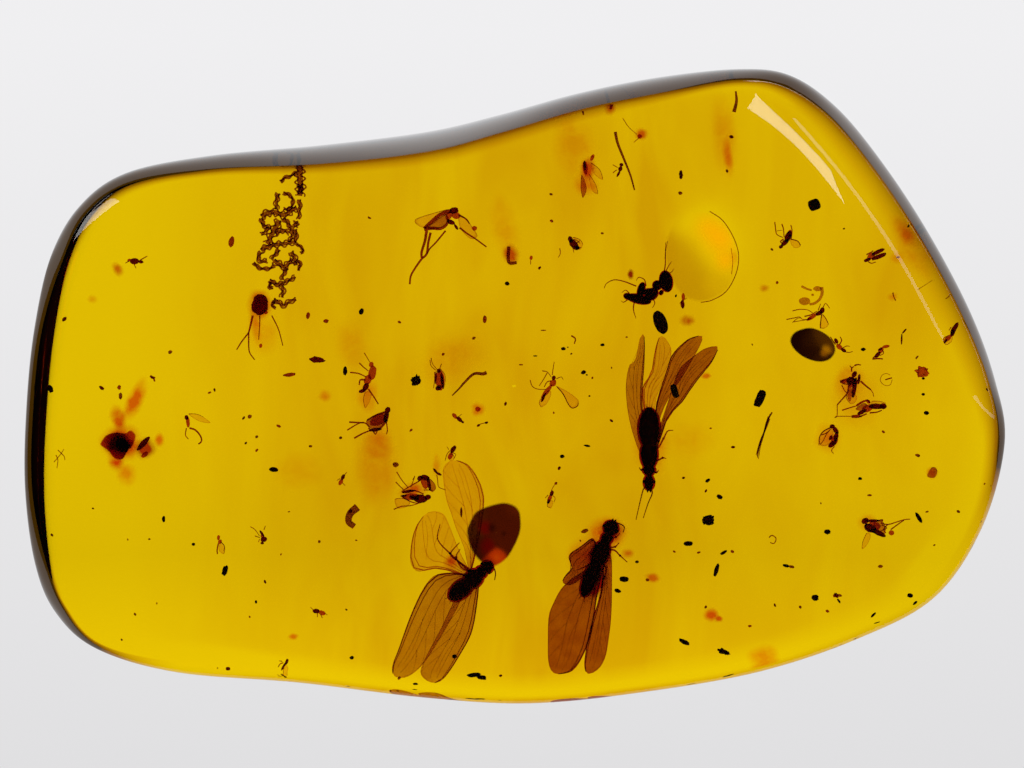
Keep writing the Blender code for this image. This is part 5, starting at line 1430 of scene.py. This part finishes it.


# Cracks seen as discs, in picture steps: height in the stone, outline, then the colours as
# x, y, reach, tint. In the first three discs the darker and lighter parts are painted
# reflection of what the cracks mirror, and the orange spot of the second is a painted highlight
FISSURES = (
    (5.05, ((788, 342), (791, 334), (799, 329.5), (810, 328), (821, 332), (830, 339),
            (834.5, 349), (832, 357), (825, 362), (815, 362.5), (803, 358.5), (793, 351)), (
        (796, 341, 12, (0.012, 0.002, 0.0)), (806, 354, 10, (0.02, 0.005, 0.0)),
        (808, 342, 7, (0.04, 0.014, 0.001)), (820, 338, 7, (0.09, 0.04, 0.003)),
        (828, 344, 5, (0.1, 0.045, 0.004)), (825, 349, 3, (0.55, 0.33, 0.03)),
        (822, 354, 2.5, (0.4, 0.2, 0.01)), (818, 359, 6, (0.04, 0.014, 0.001)))),
    (5.3, ((466.3, 530.7), (470.4, 518.1), (477.2, 508.9), (493.3, 502.6), (504.8, 500.8),
           (514, 503.1), (519.7, 508.9), (521.4, 518.1), (520.9, 529.5), (516.3, 542.2),
           (508.2, 555.9), (499.1, 563.4), (490, 566), (479.5, 560), (470.4, 547.9)), (
        (470, 530, 8, (0.07, 0.025, 0.002)), (478, 516, 7, (0.08, 0.02, 0.001)),
        (476, 545, 8, (0.05, 0.008, 0.001)), (484, 525, 5, (0.16, 0.001, 0.0)),
        (486, 545, 5, (0.14, 0.001, 0.0)), (500, 515, 12, (0.08, 0.012, 0.001)),
        (510, 530, 12, (0.09, 0.012, 0.001)), (492, 526, 3, (0.015, 0.002, 0.0)),
        (504, 532, 2, (0.01, 0.001, 0.0)), (496, 556, 5, (0.62, 0.07, 0.002)),
        (490, 561, 4, (0.3, 0.02, 0.001)), (513, 508, 6, (0.12, 0.02, 0.001)))),
    (5.1, ((664, 250), (668, 232), (677, 217), (690, 211.5), (708.7, 212.5), (721.7, 221.7),
           (732.5, 239), (737.4, 256.4), (734.7, 274.8), (724.9, 292.2), (710.8, 300.8),
           (697, 303), (680, 296), (668, 276)), (
        (676, 262, 20, (0.84, 0.76, 0.9)), (690, 290, 18, (0.82, 0.74, 0.9)),
        (712, 236, 20, (1.0, 1.0, 1.0)), (692, 226, 14, (1.0, 1.0, 1.0)),
        (722, 262, 12, (0.98, 0.95, 0.9)), (712, 285, 9, (0.92, 0.86, 0.9)),
        (733, 258, 4, (0.85, 0.6, 0.6)))),
    (5.75, ((102, 443), (108, 435), (118, 432), (127, 433), (133, 430), (138, 436), (134, 447),
            (130, 450), (125, 459), (117, 459), (110, 451), (103, 446)), (
        (104, 444, 6, (0.5, 0.06, 0.0)), (112, 441, 8, (0.22, 0.003, 0.0)),
        (121, 439, 6, (0.06, 0.0, 0.0)), (125, 451, 7, (0.12, 0.002, 0.0)),
        (117, 455, 5, (0.3, 0.01, 0.0)), (133, 434, 5, (0.45, 0.06, 0.0)))),
)
# The dark lines at the edges of the cracks, in picture steps: half width, then x, y along
# the line
CRACK_LINES = (
    (0.45, 708.7, 212.5, 721.7, 221.7, 732.5, 239, 737.4, 256.4, 734.7, 274.8, 724.9, 292.2,
     710.8, 300.8, 700, 303),
    (0.35, 729.8, 249, 731.5, 262, 730.4, 275), (0.3, 665, 243, 664, 260),
    (0.3, 890.5, 380, 888.5, 385, 884.5, 386, 880.5, 384, 878.5, 380, 880.5, 375.6, 884.5, 374,
     888.5, 375.6),
    (0.7, 883.5, 380.2, 887, 379, 890, 378.3),
)
# Painted glints: a faint glow that stands in for the light the cracks reflect forward,
# in picture steps: x, y, reach, share
PAINTED_GLINTS = ((720, 240, 15, 0.4), (706, 228, 12, 0.25), (724, 262, 9, 0.3), (497, 556, 3, 0.05))
CRACK_RINGS = 24
CRACK_RISE = 0.1  # how far a crack is domed
CRACK_EDGE = 1 / 12  # share of a crack over which it fades at its edge


def nearness(x, y, a, b, reach):
    """1 at the place a, b and falling softly with the distance from it."""
    return math.exp(-((x - a) ** 2 + (y - b) ** 2) / reach**2)


def fissures():
    """The crack discs in their tints, partly painted reflection, with a painted glow at the glints."""
    shape, tints, painted_glows = Shape(), [], []
    for z, outline, colours in FISSURES:
        loop = smooth_closed(outline, 6)
        middle = [sum(p[k] for p in loop) / len(loop) for k in (0, 1)]
        rows, shades = [], []
        for i in range(CRACK_RINGS + 1):
            r = max(i / CRACK_RINGS, 0.001)
            full = min(1.0, (1 - r) / CRACK_EDGE)
            places = [(middle[0] + (x - middle[0]) * r, middle[1] + (y - middle[1]) * r)
                      for x, y in loop]
            rows.append([(*spot(*p), z + CRACK_RISE * (1 - r * r)) for p in places])
            shades.append([full] * len(loop))
            for x, y in places:
                weights = [nearness(x, y, a, b, reach) + 1e-6 for a, b, reach, tint in colours]
                mixed = sum((Vector(c[3]) * w for c, w in zip(colours, weights)), Vector())
                tints.append(tuple(mixed / sum(weights)))
                # Painted glow that stands in for the light the cracks reflect
                glow = sum(g * nearness(x, y, a, b, reach) for a, b, reach, g in PAINTED_GLINTS)
                painted_glows.append(glow * full)
        shape.grid(rows, caps=False, shades=shades)
    item = shape.build("resin_fissures", [MATERIALS["fissure"]], record_slot="amber")
    put_tints(item, tints)
    item.data.attributes.new("glow", "FLOAT", "POINT").data.foreach_set("value", painted_glows)


def crack_edges():
    """The dark lines at the edges of the cracks."""
    shape = Shape()
    for width, *places in CRACK_LINES:
        shape.tube(picture_line(5.0, places), width / 16, 0, 5, steps=4)
    shape.build("crack_edges", [MATERIALS["limb"]], record_slot="amber")


# ------------------------------------------------------------------------ stage

# Name, tilt from straight above and heading in degrees, width and length in metres, radiance
LAMPS = (
    ("strip_wide", 15.9, 50.8, 0.04, 0.088, 5.0),
    ("strip_thin", 20.2, 35.0, 0.012, 0.1, 1.9),
    ("corner_left", 22.8, 142.0, 0.024, 0.085, 4.3),
)
LAMP_DISTANCE = 0.6
PAPER_REACH = 24  # how far the papers' stops go from the middle, in millimetres
PICTURE_WIDTH = 64 * MM  # what the camera sees across at the middle of the stone
CAMERA_DISTANCE = 1.0
STONE_MIDDLE = 6 * MM


def flat(name, half_x, half_y, z, material):
    """A level sheet under the stone that isn't part of the object."""
    mesh = bpy.data.meshes.new(name)
    mesh.from_pydata([(-half_x, -half_y, z), (half_x, -half_y, z), (half_x, half_y, z),
                      (-half_x, half_y, z)], [], [(0, 1, 2, 3)])
    mesh.materials.append(material)
    item = bpy.data.objects.new(name, mesh)
    bpy.context.scene.collection.objects.link(item)
    return item


def paper(name, stops):
    """Paper lit from below. stops are places along Y in millimetres and radiances.

    It only shines, which ends each light path there and keeps the render short.
    """
    n = Nodes(name)
    n.shader.inputs["Base Color"].default_value = (0.0, 0.0, 0.0, 1.0)
    n.shader.inputs["Specular IOR Level"].default_value = 0.0
    n.shader.inputs["Emission Color"].default_value = (0.99, 0.985, 1.0, 1.0)
    split = n.add("ShaderNodeSeparateXYZ")
    n.link(n.coords, split.inputs[0])
    place = n.spread(split.outputs["Y"], 0.0, 1.0, -PAPER_REACH * MM, PAPER_REACH * MM)
    glow = n.ramp(place, [(0.5 + y / (2 * PAPER_REACH), (value, value, value))
                          for y, value in stops])
    n.link(glow, n.shader.inputs["Emission Strength"])
    n.material.cycles.emission_sampling = "NONE"
    return n.material


def papers():
    """The panel, which shines through the stone, and the floor, which the camera sees round it."""
    glow = paper("light_paper", ((-17.5, 0.965), (-10.5, 0.818), (-2.0, 0.87)))
    panel = flat("light_panel", 0.037, 0.028, -0.00006, glow)
    panel.visible_camera = False
    panel.visible_glossy = False
    floor = flat("floor", 2.2, 2.2, -0.00003, paper("floor_paper", ((-24.0, 0.755), (22.0, 0.877))))
    floor.visible_transmission = False
    floor.visible_diffuse = False


def room():
    """A dim room round the stone, which the camera sees as bright paper."""
    world = bpy.data.worlds.new("studio")
    bpy.context.scene.world = world
    world.cycles.sampling_method = "NONE"
    world.use_nodes = True
    tree = world.node_tree
    shown = tree.nodes["Background"]
    shown.inputs["Color"].default_value = (0.985, 0.99, 1.0, 1.0)
    shown.inputs["Strength"].default_value = 0.8
    dim = tree.nodes.new("ShaderNodeBackground")
    dim.inputs["Color"].default_value = (0.9, 0.95, 1.0, 1.0)
    dim.inputs["Strength"].default_value = 0.012
    path = tree.nodes.new("ShaderNodeLightPath")
    mix = tree.nodes.new("ShaderNodeMixShader")
    tree.links.new(path.outputs["Is Camera Ray"], mix.inputs[0])
    tree.links.new(dim.outputs[0], mix.inputs[1])
    tree.links.new(shown.outputs[0], mix.inputs[2])
    tree.links.new(mix.outputs[0], tree.nodes["World Output"].inputs["Surface"])


def lamps():
    """Three lamps whose reflections are the streaks on the front."""
    for name, tilt, heading, wide, long, radiance in LAMPS:
        lamp = bpy.data.lights.new(name, "AREA")
        lamp.shape = "RECTANGLE"
        lamp.size, lamp.size_y = wide, long
        lamp.energy = radiance * math.pi * wide * long
        lamp.color = (1.0, 0.98, 0.95)
        item = bpy.data.objects.new(name, lamp)
        bpy.context.scene.collection.objects.link(item)
        a, b = math.radians(tilt), math.radians(heading)
        way = Vector((math.sin(a) * math.cos(b), math.sin(a) * math.sin(b), math.cos(a)))
        item.location = way * LAMP_DISTANCE
        level = Vector((math.cos(b), math.sin(b), 0))
        side = (level - way * way.dot(level)).normalized()
        up = way.cross(side)
        item.rotation_mode = "QUATERNION"
        item.rotation_quaternion = Matrix((side, up, way)).transposed().to_quaternion()


def camera():
    """Looks straight down at the middle of the picture frame."""
    data = bpy.data.cameras.new("camera")
    data.sensor_width = 36.0
    data.lens = data.sensor_width * CAMERA_DISTANCE / PICTURE_WIDTH
    data.clip_start, data.clip_end = 0.01, 10.0
    item = bpy.data.objects.new("camera", data)
    x, y = spot(512, 384)
    item.location = (x * MM, y * MM, STONE_MIDDLE + CAMERA_DISTANCE)
    bpy.context.scene.collection.objects.link(item)
    bpy.context.scene.camera = item


def render_settings():
    """Plain colours, and how often light may turn on its way through the stone."""
    scene = bpy.context.scene
    scene.view_settings.view_transform = "Standard"
    scene.cycles.max_bounces = 8
    scene.cycles.transmission_bounces = 8
    scene.cycles.glossy_bounces = 6
    scene.cycles.diffuse_bounces = 2
    scene.cycles.transparent_max_bounces = 32


def main():
    stone()
    for t in TERMITES:
        termite(t)
    wasp()
    flies()
    remains()
    grains()
    strands()
    frilled_strand()
    specks()
    stains()
    flow_layer()
    fissures()
    crack_edges()
    papers()
    room()
    lamps()
    camera()
    render_settings()


main()
